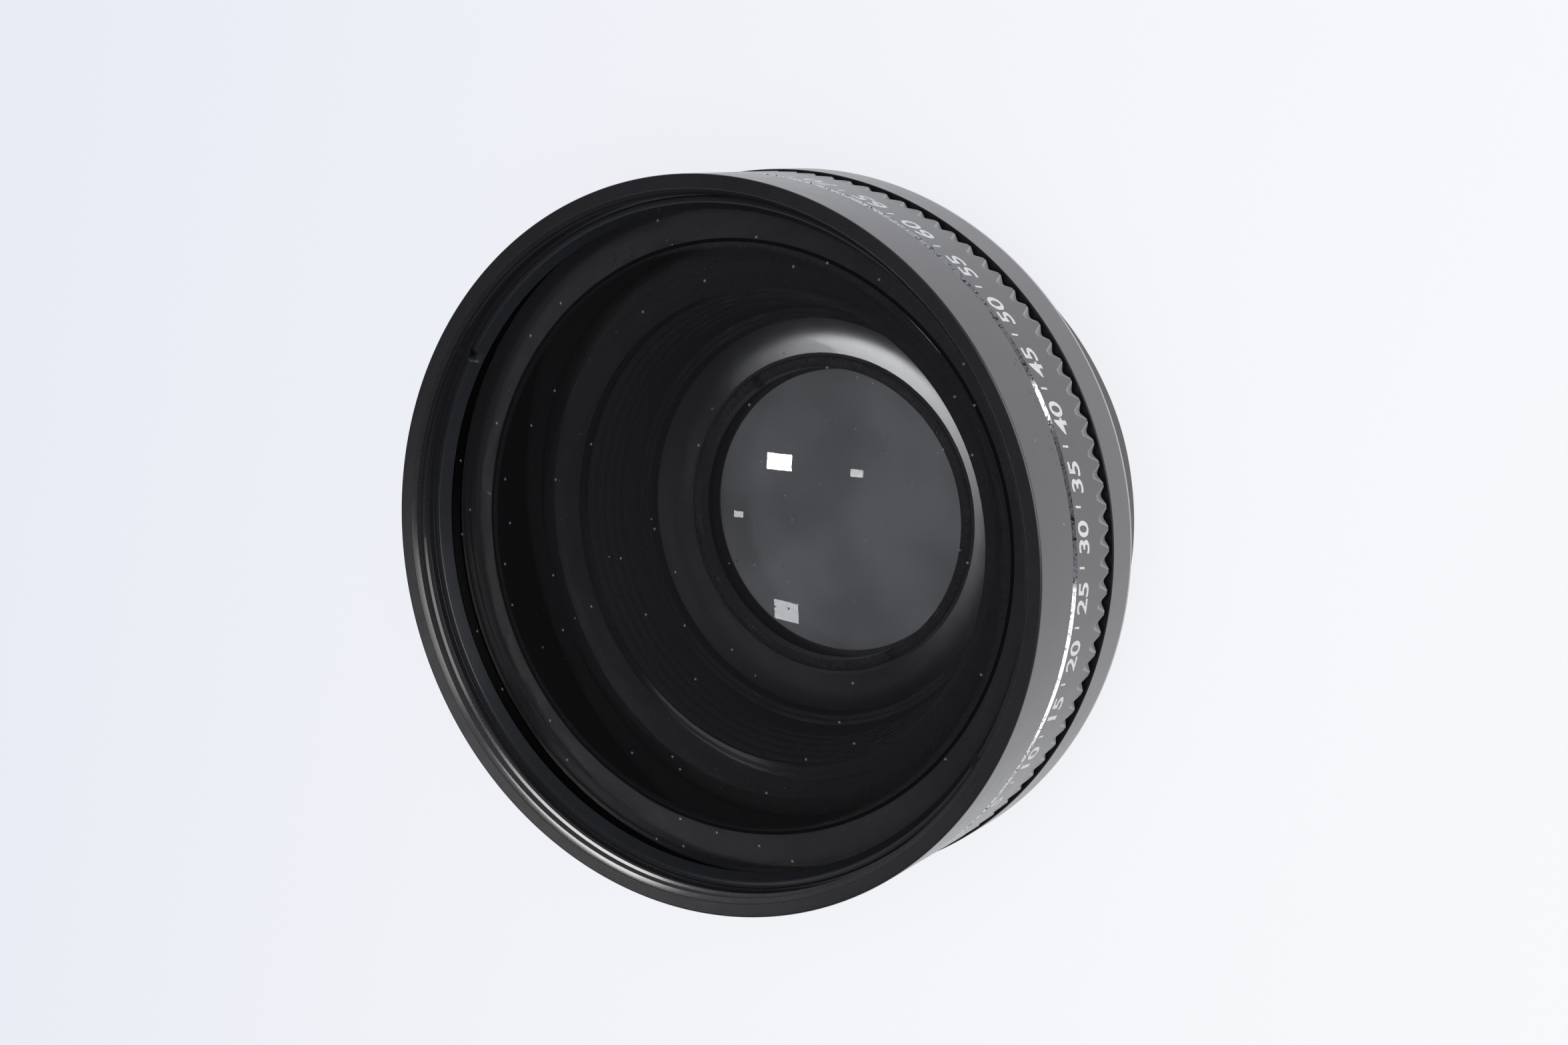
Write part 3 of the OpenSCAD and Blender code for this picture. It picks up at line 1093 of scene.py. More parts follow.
@dataclass
class MacroUnit:
    """Rear unit: wall, thread ridges, rear glass and its ring."""

    thread_r: float = 28.75
    relief_r: float = 28.45
    neck_r: float = 30.6
    band_r: float = 35.2
    seat_r: float = 33.2
    core_r: float = 30.2
    rim_r: float = 26.8
    tunnel_top_r: float = 24.3
    tunnel_low_r: float = 23.3
    skirt_r: float = 26.6
    boss_r: float = 20.0
    pocket_r: float = 17.55
    ring_thread_r: float = 18.15
    bowl_low_r: float = 18.55
    ring_bore_r: float = 16.95
    neck_z: float = 4.5
    band_z: float = 16.8
    seam_z: float = 21.6
    seat_z: float = 21.9
    joint_top_z: float = 24.15
    tunnel_top_z: float = 22.95
    bowl_top_z: float = 13.0
    bowl_low_z: float = 8.6
    step: float = 0.5
    bowl_low_slope: float = 0.26
    bowl_top_slope: float = 1.1
    chamfer: float = 0.3
    band_chamfer: float = 0.35
    seam_edge: float = 0.12
    trap_count: int = 5
    trap_pitch: float = 1.4
    trap_depth: float = 0.25
    recess_z: float = 3.4
    boss_z: float = 1.7
    slot_angle: float = 42.0
    clearance: float = 0.05
    relief_len: float = 0.8
    glint_h: float = 0.3
    lip_bevel: float = 0.45
    skin_proud: float = 0.012
    skin_back: float = 0.1
    mount_crest: float = 0.27
    mount_low: float = 0.42
    mount_stop: float = 1.2
    joint_crest: float = 0.26
    joint_low: float = 0.4
    joint_stop: float = 0.45
    ridge_sink: float = 0.02
    cove_steps: int = 24
    cutter_reach: float = 20.0
    glass: RearGlass = field(default_factory=RearGlass)

    def tunnel(self) -> list[Corner]:
        """Corners of the tunnel wall with its light-trap grooves, from the top down."""
        trap_and_seam_shade = WallFinish.TRAP
        drop = self.tunnel_top_z - self.bowl_top_z
        slope = (self.tunnel_top_r - self.tunnel_low_r) / drop
        found = [Corner(self.tunnel_top_r, self.tunnel_top_z, 0.06, trap_and_seam_shade)]
        for i in range(1, self.trap_count + 1):
            z = self.tunnel_top_z - self.trap_pitch * i
            r = self.tunnel_top_r - slope * self.trap_pitch * i
            half = self.trap_pitch / 2
            found.append(Corner(r + slope * half, z + half, 0.03, trap_and_seam_shade))
            found.append(Corner(r + self.trap_depth, z, 0.03, trap_and_seam_shade))
            found.append(Corner(r, z, 0.03, trap_and_seam_shade))
        found.append(Corner(self.tunnel_low_r, self.bowl_top_z, 0.04, trap_and_seam_shade))
        return found

    def cove(self) -> list[Corner]:
        """Corners of the bowl, from its edge down: a shallow cone that steepens outwards."""
        top_r, top_z = self.tunnel_low_r - 2 * self.step, self.bowl_top_z - 2 * self.step
        found = [Corner(top_r, top_z, 0.1, WallFinish.BOWL)]
        span, steps = top_r - self.bowl_low_r, self.cove_steps
        bend = (self.bowl_top_slope - self.bowl_low_slope) / 3
        for k in range(steps, -1, -1):
            t = k / steps
            z = self.bowl_low_z + span * (self.bowl_low_slope * t + bend * t**3)
            fillet = 0.15 if k == steps else 0.0
            found.append(Corner(self.bowl_low_r + span * t, z, fillet, WallFinish.BOWL))
        return found

    def bowl_skin(self) -> list[Corner]:
        """Corners of the satin skin on the bowl."""
        face = [Corner(c.r, c.z + self.skin_proud, 0.0) for c in self.cove()]
        back = [Corner(c.r, c.z - self.skin_back, 0.0) for c in reversed(self.cove())]
        return face + back

    def wall(self) -> list[Corner]:
        """Corners of the wall's half section."""
        ring_seat = self.glass.front_z + self.clearance
        t, s = self.thread_r, self.step
        lip, lip_z = self.glass.lip_r, self.glass.lip_z
        low, relief_z = self.tunnel_low_r, self.neck_z - self.relief_len
        band_low, band_high = self.band_z + self.band_chamfer, self.seam_z - self.seam_edge
        trap_and_seam_shade, worn_and_glint, band = WallFinish.TRAP, WallFinish.RUBBED, WallFinish.BAND
        return [
            Corner(self.skirt_r + self.chamfer, 0, 0.05),
            Corner(t - self.chamfer, 0, 0.05),
            Corner(t, self.chamfer, 0.05),
            Corner(t, relief_z, 0.05),
            Corner(self.relief_r, relief_z, 0.05),
            Corner(self.relief_r, self.neck_z, 0.05),
            Corner(self.neck_r - self.chamfer, self.neck_z),
            Corner(self.neck_r, self.neck_z + self.chamfer),
            Corner(self.neck_r, self.band_z, 0.12),
            # The back chamfer and a glint_h strip take the light grey: edge wear and a painted
            # highlight line.
            Corner(self.band_r - self.band_chamfer, self.band_z, 0.06, worn_and_glint),
            Corner(self.band_r, band_low, 0.0, worn_and_glint),
            # From here up the band takes the lighter band black, a painted sheen.
            Corner(self.band_r, band_low + self.glint_h, 0.0, band),
            # The band's top edge and the seam faces take the flat black: painted shade in the gap
            # under the front unit.
            Corner(self.band_r, band_high, 0.04, trap_and_seam_shade),
            Corner(self.band_r - self.seam_edge, self.seam_z, 0.03, trap_and_seam_shade),
            Corner(self.seat_r, self.seam_z, 0.04, trap_and_seam_shade),
            Corner(self.seat_r, self.seat_z, 0.04),
            Corner(self.core_r, self.seat_z, 0.04),
            Corner(self.core_r, self.joint_top_z - self.chamfer, 0.04),
            Corner(self.core_r - self.chamfer, self.joint_top_z, 0.04, trap_and_seam_shade),
            Corner(self.rim_r, self.joint_top_z, 0.08, trap_and_seam_shade),
            *self.tunnel(),
            Corner(low - s, self.bowl_top_z, 0.05, trap_and_seam_shade),
            Corner(low - s, self.bowl_top_z - s, 0.03, trap_and_seam_shade),
            Corner(low - 2 * s, self.bowl_top_z - s, 0.05, trap_and_seam_shade),
            *self.cove(),
            Corner(self.ring_thread_r, self.bowl_low_z, 0.04, trap_and_seam_shade),
            Corner(self.ring_thread_r, ring_seat, 0.02, trap_and_seam_shade),
            Corner(self.pocket_r, ring_seat, 0.02, trap_and_seam_shade),
            Corner(self.pocket_r, lip_z, 0.02, trap_and_seam_shade),
            Corner(lip, lip_z, 0.04, trap_and_seam_shade),
            Corner(lip, lip_z - self.lip_bevel, 0.05, trap_and_seam_shade),
            Corner(lip + self.lip_bevel, self.boss_z, 0.05),
            Corner(self.boss_r, self.boss_z, 0.08),
            Corner(self.boss_r, self.recess_z, 0.1),
            Corner(self.skirt_r, self.recess_z, 0.1),
            Corner(self.skirt_r, self.chamfer, 0.05),
        ]

    def ring(self) -> list[Corner]:
        """Corners of the retaining ring's half section."""
        seat = self.glass.front_z + self.clearance
        face_r = self.glass.front_r
        foot = seat + sag(face_r, self.glass.edge_r) - sag(face_r, self.ring_bore_r)
        outer = self.ring_thread_r - self.clearance
        return [
            Corner(self.ring_bore_r, foot, 0.03),
            Corner(self.pocket_r, seat, 0.0),
            Corner(outer, seat, 0.03),
            Corner(outer, self.bowl_low_z, 0.08),
            Corner(self.ring_bore_r, self.bowl_low_z, 0.12),
        ]

    def build(self, lacquer: bpy.types.Material, flat: bpy.types.Material) -> None:
        """Make the rear unit's pieces.

        Args:
            lacquer: material of the blackened glass edges.
            flat: material of the light tunnel, also painted shade on the seam faces next to the
                front unit.
        """
        black, bowl_black = REAR_BLACK.build(), BOWL_BLACK.build()
        finishes = (black, flat, bowl_black, WORN_EDGE_AND_GLINT.build(), REAR_BAND_SHEEN_BLACK.build())
        wall = turned_piece("rear_wall", self.wall(), 384, finishes)
        stand_for(wall, Body.MACRO_UNIT, ("macro_barrel",))
        bowl = turned_piece("bowl_skin", self.bowl_skin(), 320, (bowl_black,))
        stand_for(bowl, Body.MACRO_UNIT)
        ring = turned_piece("rear_lock_ring", self.ring(), 256, (REAR_RING_BLACK.build(),))
        spanner_slots(ring, self.slot_angle, self.bowl_low_z, self.cutter_reach)
        stand_for(ring, Body.MACRO_UNIT, ("macro_retaining_ring",))
        mount = helix(
            self.thread_r - self.ridge_sink,
            self.mount_crest,
            self.mount_low,
            self.neck_z - self.mount_stop,
            Hand.OUTWARD,
        )
        joint = helix(
            self.core_r - self.ridge_sink,
            self.joint_crest,
            self.seat_z + self.joint_low,
            self.joint_top_z - self.joint_stop,
            Hand.OUTWARD,
        )
        for name, ridge in (("mount_thread_ridge", mount), ("joint_thread_ridge", joint)):
            made = finish_mesh(ridge, name, (black,))
            stand_for(made, Body.MACRO_UNIT)
        self.glass.build(lacquer)


@dataclass
class FrontElement:
    """The hollow-backed front glass."""

    edge_r: float = 32.4
    front_r: float = 150.0
    hollow_r: float = 62.0
    hollow_edge_r: float = 28.0
    vertex_z: float = 36.7426
    centre_t: float = 3.0
    glass: CoatedGlass = CoatedGlass(
        "front_glass_coated",
        tint=(0.955, 0.965, 0.975),
        level=0.42,
        dust=0.45,
        pitch=4.6,
        speck=0.12,
    )
    inner: CoatedGlass = CoatedGlass(
        "hollow_face_coated", tint=(0.955, 0.965, 0.975), level=0.42, dust=0.30, pitch=6.0
    )

    def build(self, lacquer: bpy.types.Material) -> bpy.types.Object:
        """Make the glass.

        Args:
            lacquer: material of its blackened edge and land.

        Returns:
            The piece.
        """
        steps = 44
        apex = self.vertex_z - self.centre_t
        land = apex - sag(self.hollow_r, self.hollow_edge_r)
        section: list[SectionPoint] = []
        for k in range(steps):
            r = self.hollow_edge_r * k / steps
            section.append((r, apex - sag(self.hollow_r, r), GlassFinish.HOLLOW))
        section.append((self.hollow_edge_r, land, GlassFinish.LACQUER))
        section.append((self.edge_r, land, GlassFinish.LACQUER))
        for k in range(steps, -1, -1):
            r = self.edge_r * k / steps
            section.append((r, self.vertex_z - sag(self.front_r, r), GlassFinish.OUTER))
        bm = turned_bmesh(section, 320, False)
        finishes = (self.glass.build(), lacquer, self.inner.build())
        made = finish_mesh(bm, "front_glass_element", finishes)
        return stand_for(made, Body.FRONT_GLASS, ("front_element",))


@dataclass
class FrontUnit:
    """Front barrel with its flutes, bevel, filter thread and retaining ring."""

    band_r: float = 35.0
    joint_bore_r: float = 30.5
    seat_bore_r: float = 28.3
    pocket_r: float = 32.45
    ring_thread_r: float = 32.95
    filter_r: float = 33.25
    mouth: float = 0.4
    runout: float = 0.35
    seat_z: float = 21.9
    flute_len: float = 2.3
    flute_count: int = 110
    flute_depth: float = 0.5
    flute_crest: float = 0.05
    gap: float = 0.22
    flute_root: float = 0.3
    mark_top_z: float = 29.65
    bevel_w: float = 0.85
    bevel_depth: float = 0.5
    rim_top_z: float = 37.4
    rim_round: float = 0.2
    thread_top_z: float = 37.0
    runout_top_z: float = 35.25
    ring_top_z: float = 34.65
    ring_foot_z: float = 33.4
    joint_bore_top_z: float = 24.65
    front_seat_z: float = 27.06
    ring_seat_z: float = 33.25
    ring_foot_r: float = 31.7
    ring_top_r: float = 32.3
    slot_angle: float = 70.0
    per_flute: int = 16
    grip_rows: int = 13
    grip_margin: float = 0.15
    foot_w: float = 1.2
    gap_floor_w: float = 1.0
    gap_w: float = 0.72
    foot_edge: float = 0.06
    cut_w: float = 0.7
    clearance: float = 0.05
    skin_proud: float = 0.012
    skin_back: float = 0.1
    bevel_proud: float = 0.004
    bevel_back: float = 0.12
    crest: float = 0.22
    crest_low: float = 0.35
    crest_stop: float = 0.3
    ridge_sink: float = 0.02
    cutter_reach: float = 40.0
    nick_rows: tuple[Triple, ...] = (
        (-62.0, 31.4, 0.13),
        (-60.6, 31.2, 0.10),
        (-59.8, 31.6, 0.14),
        (-58.0, 31.3, 0.11),
        (-53.5, 31.5, 0.12),
        (-52.6, 31.3, 0.16),
        (-51.2, 31.7, 0.12),
        (-47.5, 31.4, 0.12),
        (-46.5, 31.9, 0.15),
        (-45.9, 31.3, 0.13),
        (-38.0, 31.3, 0.10),
        (-30.0, 32.6, 0.08),
    )

    def barrel(self) -> list[Corner]:
        """Corners of the barrel's half section above the grip, round to the rear face."""
        b, f = self.band_r, self.filter_r
        bevel_top = self.mark_top_z + self.bevel_w
        edge = arc((b - self.rim_round, self.rim_top_z - self.rim_round), self.rim_round, 0, 90, 8)
        return [
            Corner(b, self.seat_z + self.flute_len + self.grip_margin, 0.0),
            Corner(b, self.mark_top_z, 0.04),
            Corner(b - self.bevel_depth, bevel_top - self.bevel_w / 8, 0.02),
            Corner(b, bevel_top, 0.05),
            *edge,
            Corner(f + self.mouth, self.rim_top_z, 0.05),
            Corner(f, self.thread_top_z, 0.04),
            Corner(f, self.runout_top_z, 0.04),
            Corner(f + self.runout, self.runout_top_z, 0.03),
            Corner(f + self.runout, self.ring_top_z, 0.03),
            Corner(self.ring_thread_r, self.ring_top_z, 0.04),
            Corner(self.ring_thread_r, self.ring_seat_z, 0.02),
            Corner(self.pocket_r, self.ring_seat_z, 0.02),
            Corner(self.pocket_r, self.front_seat_z, 0.02),
            Corner(self.seat_bore_r, self.front_seat_z, 0.05, BarrelFinish.FLAT),
            Corner(self.seat_bore_r, self.joint_bore_top_z, 0.05, BarrelFinish.FLAT),
            Corner(self.joint_bore_r, self.joint_bore_top_z, 0.05),
            Corner(self.joint_bore_r, self.seat_z, 0.1),
            Corner(self.band_r - self.foot_w, self.seat_z, 0.0),
        ]

    def mouth_skin(self) -> list[Corner]:
        """Corners of the glossier skin on the mouth chamfer and the filter thread's wall."""
        f, proud, thick = self.filter_r, self.skin_proud, self.skin_back
        return [
            Corner(f + self.mouth - proud, self.rim_top_z + proud / 2, 0.03),
            Corner(f - proud, self.thread_top_z, 0.04),
            Corner(f - proud, self.runout_top_z + proud, 0.02),
            Corner(f + thick, self.runout_top_z + thick, 0.0),
            Corner(f + thick, self.thread_top_z - thick, 0.0),
            Corner(f + self.mouth + thick / 2, self.rim_top_z - thick, 0.0),
        ]

    def bevel(self) -> list[Corner]:
        """Corners of the bright skin that covers the bevel's lower flank."""
        b, thick, proud = self.band_r, self.bevel_back, self.bevel_proud
        low, high = self.mark_top_z, self.mark_top_z + self.bevel_w * 7 / 8
        root = b - self.bevel_depth
        return [
            Corner(b + proud, low + 3 * proud, 0.0),
            Corner(root + 5 * proud, high - 1.5 * proud, 0.0),
            Corner(root - thick, high - thick, 0.0),
            Corner(b - thick, low - 2 * thick, 0.0),
        ]

    def grip(self) -> list[SectionPoint]:
        """Fine points of the grip's half section, from the rear face up to the marking band."""
        black, flat = BarrelFinish.BLACK, BarrelFinish.FLAT
        b, foot, edge = self.band_r, self.seat_z + self.gap, self.foot_edge
        low, high = foot + edge, self.seat_z + self.flute_len + self.grip_margin
        rows = [low + (high - low) * k / self.grip_rows for k in range(self.grip_rows + 1)]
        return [
            # The faces in the gap take the flat black: painted shade between the two units.
            (b - self.foot_w, self.seat_z, flat),
            (b - self.gap_floor_w, self.seat_z, flat),
            (b - self.gap_w, foot, flat),
            (b - edge, foot, black),
            (b - edge * 0.3, foot + edge * 0.3, black),
            *((b, z, black) for z in rows),
        ]

    def cut(self, r: float, angle: float, z: float) -> float:
        """Radius of the grip once the flutes are cut.

        Args:
            r: plain radius.
            angle: direction in radians.
            z: height.

        Returns:
            The radius.
        """
        if r < self.band_r - self.cut_w:
            return r
        pitch = 2 * math.pi / self.flute_count
        across = ((angle + pitch / 2) % pitch - pitch / 2) * self.band_r
        half = math.pi * self.band_r / self.flute_count * (1 - self.flute_crest)
        spread = (half - self.flute_root / 2) / self.flute_depth
        floor = self.flute_depth * (self.seat_z + self.flute_len - z) / self.flute_len
        deep = floor - max(0.0, (abs(across) - self.flute_root / 2) / spread)
        return min(r, self.band_r - max(0.0, deep))

    def nicks(self) -> tuple[Nick, ...]:
        """The small chips in the barrel's skin."""
        found = []
        for deg, z, reach in self.nick_rows:
            a = math.radians(deg)
            found.append(Nick((self.band_r * math.cos(a), self.band_r * math.sin(a), z), reach))
        return tuple(found)

    def build_barrel(self, flat: bpy.types.Material) -> None:
        """Make the barrel with its finely cut grip.

        Args:
            flat: material of the seat's bore, and painted shade on the gap's face.
        """
        black = Anodised(
            "front_anodised_black", nicks=self.nicks(), roughness=0.25, level=1.0, dust=0.10
        )
        bm = turned_bmesh(rounded(self.barrel(), False), 440, False)
        fine = turned_bmesh(self.grip(), self.flute_count * self.per_flute, False, self.cut)
        # Flute faces take the light grey: painted reflection of the backdrop.
        flank_z, flank_r = self.seat_z + self.gap + 0.03, self.band_r - 0.004
        for face in fine.faces:
            middle = face.calc_center_median()
            if middle.z > flank_z and math.hypot(middle.x, middle.y) < flank_r:
                face.material_index = BarrelFinish.FLUTE
        absorb(bm, fine)
        finishes = (black.build(), FLUTE_SHEEN_GREY.build(), flat)
        barrel = finish_mesh(bm, "front_barrel_skin", finishes, 34.0)
        stand_for(barrel, Body.FRONT_UNIT, ("front_barrel",))

    def build_mouth(self) -> None:
        """Make the skin and the thread ridge of the filter mouth."""
        gloss = THREAD_BLACK.build()
        mouth = turned_piece("filter_mouth_skin", self.mouth_skin(), 400, (gloss,))
        stand_for(mouth, Body.FRONT_UNIT)
        ridge = helix(
            self.filter_r + self.ridge_sink,
            self.crest,
            self.runout_top_z + self.crest_low,
            self.thread_top_z - self.crest_stop,
            Hand.INWARD,
            300,
        )
        made = finish_mesh(ridge, "filter_thread_ridge", (gloss,))
        stand_for(made, Body.FRONT_UNIT)

    def build_ring(self) -> None:
        """Make the retaining ring with its spanner slots."""
        outer = self.ring_thread_r - self.clearance
        section = [
            Corner(self.ring_foot_r, self.ring_foot_z, 0.03),
            Corner(self.pocket_r, self.ring_seat_z, 0.0),
            Corner(outer, self.ring_seat_z, 0.03),
            Corner(outer, self.ring_top_z, 0.06),
            Corner(self.ring_top_r, self.ring_top_z, 0.10),
        ]
        ring = turned_piece("front_lock_ring", section, 400, (FRONT_RING_BLACK.build(),))
        spanner_slots(ring, self.slot_angle, self.ring_top_z, self.cutter_reach)
        stand_for(ring, Body.FRONT_UNIT, ("front_retaining_ring",))

    def build(self, flat: bpy.types.Material) -> None:
        """Make the front unit's pieces.

        Args:
            flat: material of the inner faces, and painted shade on the gap's face.
        """
        bevel = turned_piece("bright_bevel_ring", self.bevel(), 440, (BrightCut().build(),))
        stand_for(bevel, Body.FRONT_UNIT)
        self.build_barrel(flat)
        self.build_mouth()
        self.build_ring()


@dataclass
class Markings:
    """Plain numerals and ticks printed round the marking band."""

    radius: float = 35.0
    base_z: float = 26.9
    height: float = 2.2
    film: float = 0.02
    first_deg: float = -128.0
    step_deg: float = 9.0
    numeral_count: int = 15
    numeral_step: int = 5
    slant: float = 0.16
    bold: float = 0.055
    cap_share: float = 0.70
    sink: float = 0.01
    tick_len: float = 1.1
    tick_w: float = 0.2

    def wrapped(self, bm: bmesh.types.BMesh, middle_deg: float) -> None:
        """Bend flat artwork round the band.

        Args:
            bm: artwork with x along the band, y up and z out, in millimetres.
            middle_deg: direction of x = 0.
        """
        for v in bm.verts:
            a = math.radians(middle_deg) + (v.co.x + self.slant * v.co.y) / self.radius
            r = self.radius - self.sink + v.co.z
            v.co = Vector((r * math.cos(a), r * math.sin(a), self.base_z + v.co.y))

    def numeral(self, text: str) -> bmesh.types.BMesh:
        """Flat artwork of a numeral, centred on x = 0.

        Args:
            text: the digits.

        Returns:
            The mesh in millimetres.
        """
        curve = bpy.data.curves.new("numeral", "FONT")
        curve.body = text
        curve.align_x = "CENTER"
        curve.size = self.height / self.cap_share
        curve.extrude = self.film
        curve.offset = self.bold
        curve.resolution_u = 5
        holder = bpy.data.objects.new("numeral", curve)
        bpy.context.scene.collection.objects.link(holder)
        bpy.context.view_layer.update()
        ready = holder.evaluated_get(bpy.context.evaluated_depsgraph_get())
        mesh = bpy.data.meshes.new_from_object(ready)
        bpy.data.objects.remove(holder)
        bpy.data.curves.remove(curve)
        bm = bmesh.new()
        bm.from_mesh(mesh)
        bpy.data.meshes.remove(mesh)
        return bm

    def tick(self) -> bmesh.types.BMesh:
        """Flat artwork of a tick that hangs from the top line."""
        bm = bmesh.new()
        bmesh.ops.create_cube(bm, size=1.0)
        scale = Matrix.Diagonal((self.tick_w, self.tick_len, 2 * self.film, 1.0))
        place = Matrix.Translation((0, self.height - self.tick_len / 2, 0))
        bmesh.ops.transform(bm, matrix=place @ scale, verts=bm.verts)
        return bm

    def build(self) -> bpy.types.Object:
        """Make the printing.

        Returns:
            The piece.
        """
        total = bmesh.new()
        for i in range(self.numeral_count):
            middle = self.first_deg + self.step_deg * i
            numeral = self.numeral(str(self.numeral_step * i))
            for art, where in ((numeral, middle), (self.tick(), middle + self.step_deg / 2)):
                self.wrapped(art, where)
                absorb(total, art)
        made = finish_mesh(total, "band_numerals", (PrintedWhite().build(),), 30.0, False)
        return stand_for(made, Body.FRONT_UNIT)


@dataclass(frozen=True)
class Card:
    """A glowing card that the camera doesn't see.

    Attributes:
        name: its name.
        centre: its centre in millimetres; it faces the lens.
        width: its width in millimetres.
        height: its height in millimetres.
        glow: its brightness.
        lights: what it lights.
    """

    name: str
    centre: Triple
    width: float
    height: float
    glow: float
    lights: Reach


@dataclass
class Studio:
    """Floor, cards, lamps, world and camera."""

    eye: Triple = (59.87, -103.6, 217.6)
    forward: Triple = (-0.2581, 0.4506, -0.8546)
    up: Triple = (0.9511, 0.2740, -0.1428)
    focal_mm: float = 53.25
    aim_z: float = 30.0
    floor_half: float = 3000.0
    floor_glow: float = 0.81
    # fade_r and fade_w: where the painted pool of floor glow dims to its far tone.
    fade_r: float = 340.0
    fade_w: float = 120.0
    # shade_r and shade_tone: painted shadow under the lens; the tone pairs below are painted light
    # and shade of the floor.
    shade_r: float = 27.5
    floor_light_slope_tones: tuple[Colour, Colour] = ((0.80, 0.81, 0.85), (0.86, 0.86, 0.87))
    lit_tones: tuple[Colour, Colour] = ((0.84, 0.87, 0.95), (0.985, 0.99, 1.0))
    dimmed_glow_tone: Colour = (0.30, 0.31, 0.34)
    shade_tone: Colour = (0.115, 0.115, 0.12)
    shadow_glow_tones: tuple[Colour, Colour] = ((0.045, 0.045, 0.047), (0.085, 0.085, 0.09))
    horizon: Colour = (0.30, 0.30, 0.32)
    zenith: Colour = (0.075, 0.075, 0.085)
    horizon_h: float = 0.02
    cards: tuple[Card, ...] = (
        Card("key_lamp", (-73.6, 288.8, 742.4), 36, 20, 150.0, Reach.GLASS),
        Card("bowl_lamp", (-261, 224, 310), 80, 100, 78.0, Reach.BOWL),
        Card("table_card", (-103, -265, 16), 210, 26, 3.2, Reach.BEVEL),
        Card("side_card", (262, -305, 50), 60, 50, 3.0, Reach.BEVEL),
        Card("upper_card", (429, 66, 153), 400, 280, 9.5, Reach.THREAD),
        Card("rim_card", (-240, 300, 450), 160, 160, 0.9, Reach.METAL),
        Card("print_fill", (200, -350, 250), 300, 300, 2.3, Reach.METAL),
        Card("top_softbox", (150, -300, 700), 500, 500, 0.9, Reach.OPAQUE),
    )
    lit: dict[Reach, bpy.types.Collection] = field(default_factory=dict)

    def floor(self) -> None:
        """Make the pale glowing floor, with painted light paler towards one side and dimming far
        from the lens, and a painted shadow under the lens where it shows through the rear glass.
        """
        g = Graph("pale_floor")
        x, y, _ = g.parts()
        away = g.radius(x, y)
        # Painted light: colour and glow grow paler towards one side, and the glow dims beyond
        # fade_r, a painted pool of light round the lens.
        painted_slope = (x * -0.0008 + y * -0.0036 + 0.62).above(0.5, 0.6)
        painted_falloff = away.above(self.fade_r, self.fade_w)
        shadow_cloud = g.noise(16.0, 2.0).above(0.5, 0.15)
        # Painted shadow under the lens, dark in colour and glow, seen through the rear glass.
        painted_shadow = away.below(self.shade_r, 1.0)
        glow = g.mix(painted_falloff, g.mix(painted_slope, *self.lit_tones), self.dimmed_glow_tone)
        g.set(
            Base_Color=g.mix(painted_shadow, g.mix(painted_slope, *self.floor_light_slope_tones), self.shade_tone),
            Roughness=0.75,
            Specular_IOR_Level=0.2,
            Emission_Color=g.mix(painted_shadow, glow, g.mix(shadow_cloud, *self.shadow_glow_tones)),
            Emission_Strength=self.floor_glow,
        )
        bm = bmesh.new()
        bmesh.ops.create_grid(bm, x_segments=1, y_segments=1, size=self.floor_half)
        made = finish_mesh(bm, "pale_floor", (g.material,), recalc=False)

    def hang(self, card: Card) -> None:
        """Make the lamp of a card.

        Args:
            card: the card.
        """
        lamp = bpy.data.lights.new(card.name, "AREA")
        lamp.shape = "RECTANGLE"
        lamp.size = card.width * MM
        lamp.size_y = card.height * MM
        lamp.energy = card.glow * math.pi * lamp.size * lamp.size_y
        made = bpy.data.objects.new(card.name, lamp)
        place = Vector(card.centre) * MM
        back = (place - Vector((0, 0, self.aim_z * MM))).normalized()
        across = Vector((0, 0, 1)).cross(back)
        if card.lights is Reach.GLASS:
            across = Vector(self.forward).cross(Vector(self.up))
        across = (across - back * across.dot(back)).normalized()
        turn = Matrix((across, back.cross(across), back)).transposed().to_4x4()
        made.matrix_world = Matrix.Translation(place) @ turn
        made.visible_camera = False
        made.light_linking.receiver_collection = self.lit[card.lights]
        made.light_linking.blocker_collection = self.lit[Reach.OPAQUE]
        bpy.context.scene.collection.objects.link(made)

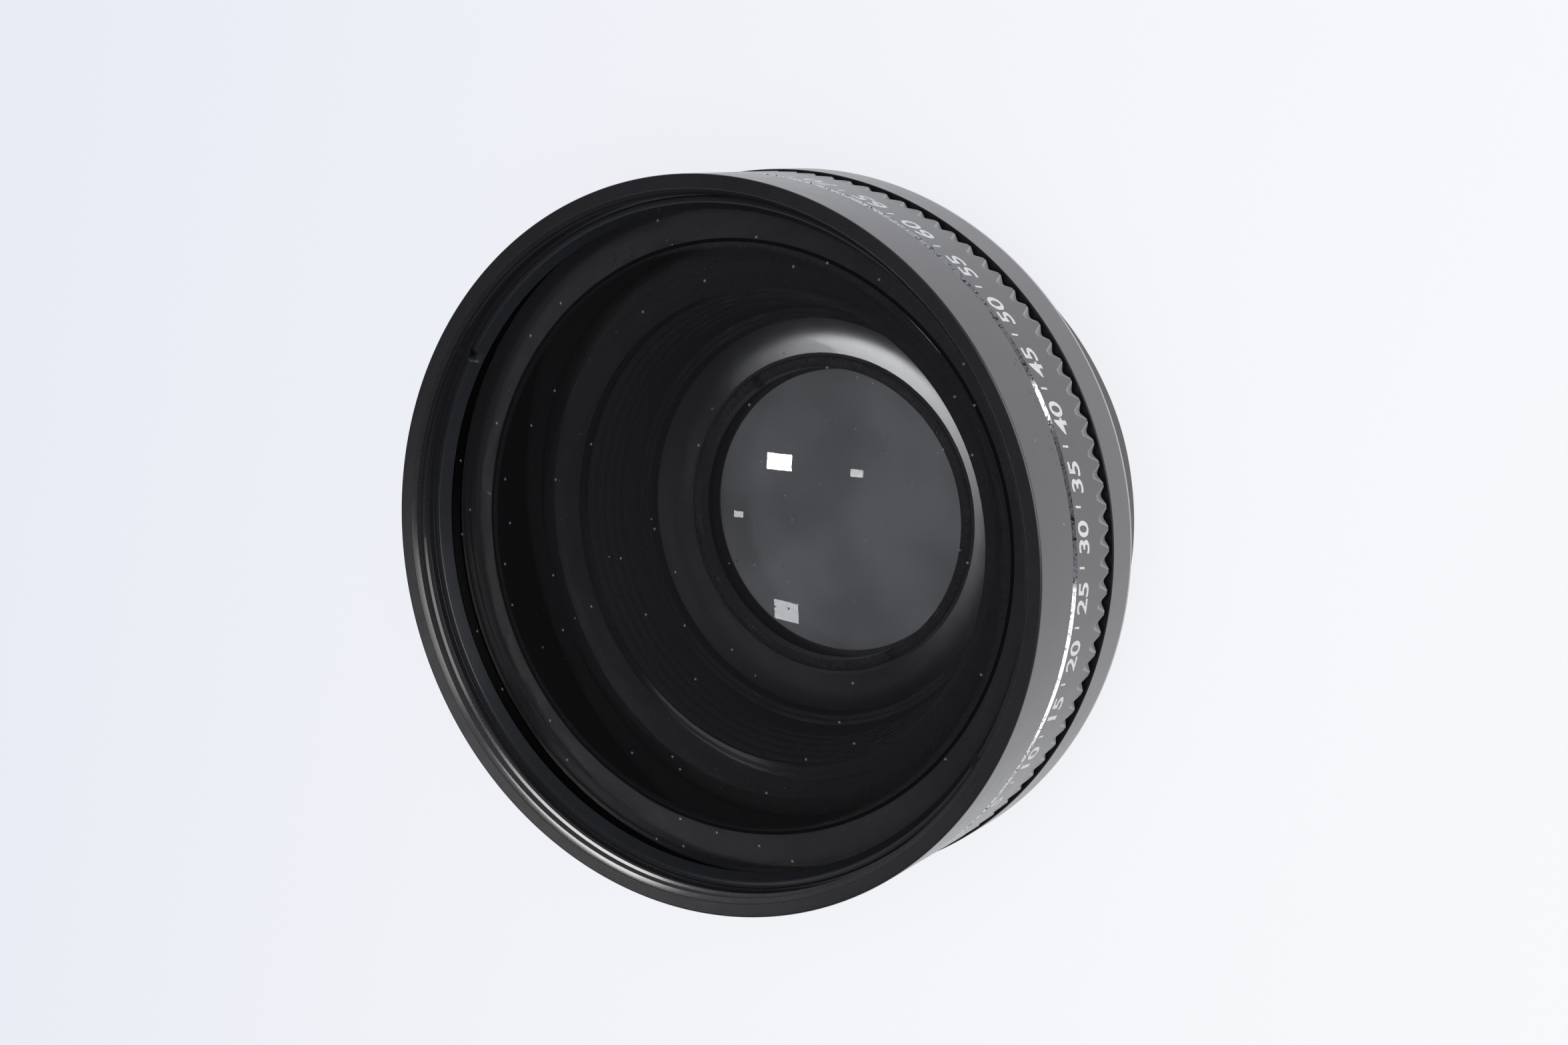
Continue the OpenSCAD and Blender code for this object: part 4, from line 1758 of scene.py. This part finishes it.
    def world(self) -> None:
        """Make the surroundings: pale at the horizon and dim above it, as in a dark studio."""
        world = bpy.data.worlds.new("studio")
        bpy.context.scene.world = world
        world.use_nodes = True
        sky = Tree(world.node_tree)
        place = sky.node("ShaderNodeTexCoord")
        split = sky.node("ShaderNodeSeparateXYZ", sockets={0: place.outputs["Generated"]})
        stops = ((0.0, self.horizon), (self.horizon_h, self.zenith))
        ramp = sky.node("ShaderNodeValToRGB", {"stops": stops}, {0: split.outputs[2]})
        back = sky.node("ShaderNodeBackground", sockets={0: ramp.outputs[0]})
        sky.node("ShaderNodeOutputWorld", sockets={0: back.outputs[0]})

    def camera(self) -> None:
        """Make the camera at the photograph's place."""
        lens = bpy.data.cameras.new("camera")
        lens.lens = self.focal_mm
        lens.sensor_width = 36.0
        lens.clip_start = 0.01
        lens.clip_end = 50.0
        made = bpy.data.objects.new("camera", lens)
        f, u = Vector(self.forward).normalized(), Vector(self.up)
        r = f.cross(u).normalized()
        u = r.cross(f)
        turn = Matrix((r, u, -f)).transposed().to_4x4()
        made.matrix_world = Matrix.Translation(Vector(self.eye) * MM) @ turn
        bpy.context.scene.collection.objects.link(made)
        bpy.context.scene.camera = made

    def gather(self) -> None:
        """Sort the pieces by the lamps that light them."""
        self.lit = {
            reach: bpy.data.collections.new(reach.name.lower() + "_pieces") for reach in Reach
        }
        for piece in bpy.context.scene.objects:
            if piece.type != "MESH" or piece.hide_render:
                continue
            if piece.name in GLASS_PIECES:
                self.lit[Reach.GLASS].objects.link(piece)
                continue
            self.lit[Reach.OPAQUE].objects.link(piece)
            if piece.name != "pale_floor":
                self.lit[Reach.METAL].objects.link(piece)
            if piece.name in OWN_LAMP:
                self.lit[OWN_LAMP[piece.name]].objects.link(piece)

    def build(self) -> None:
        """Make the whole studio."""
        self.floor()
        self.gather()
        self.world()
        for card in self.cards:
            self.hang(card)
        self.camera()
        bpy.context.scene.view_settings.view_transform = "Standard"


def main() -> None:
    """Build the dressed lens in order."""
    logging.basicConfig(level=logging.INFO, format="%(name)s: %(message)s")
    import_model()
    lacquer = Lacquer().build()
    # Flat black of the inner faces, also painted shade in the gap between the units.
    flat = INNER_BLACK_AND_GAP_SHADE.build()
    MacroUnit().build(lacquer, flat)
    FrontElement().build(lacquer)
    FrontUnit().build(flat)
    Markings().build()
    Studio().build()
    bpy.context.view_layer.update()


if __name__ == "__main__":
    main()
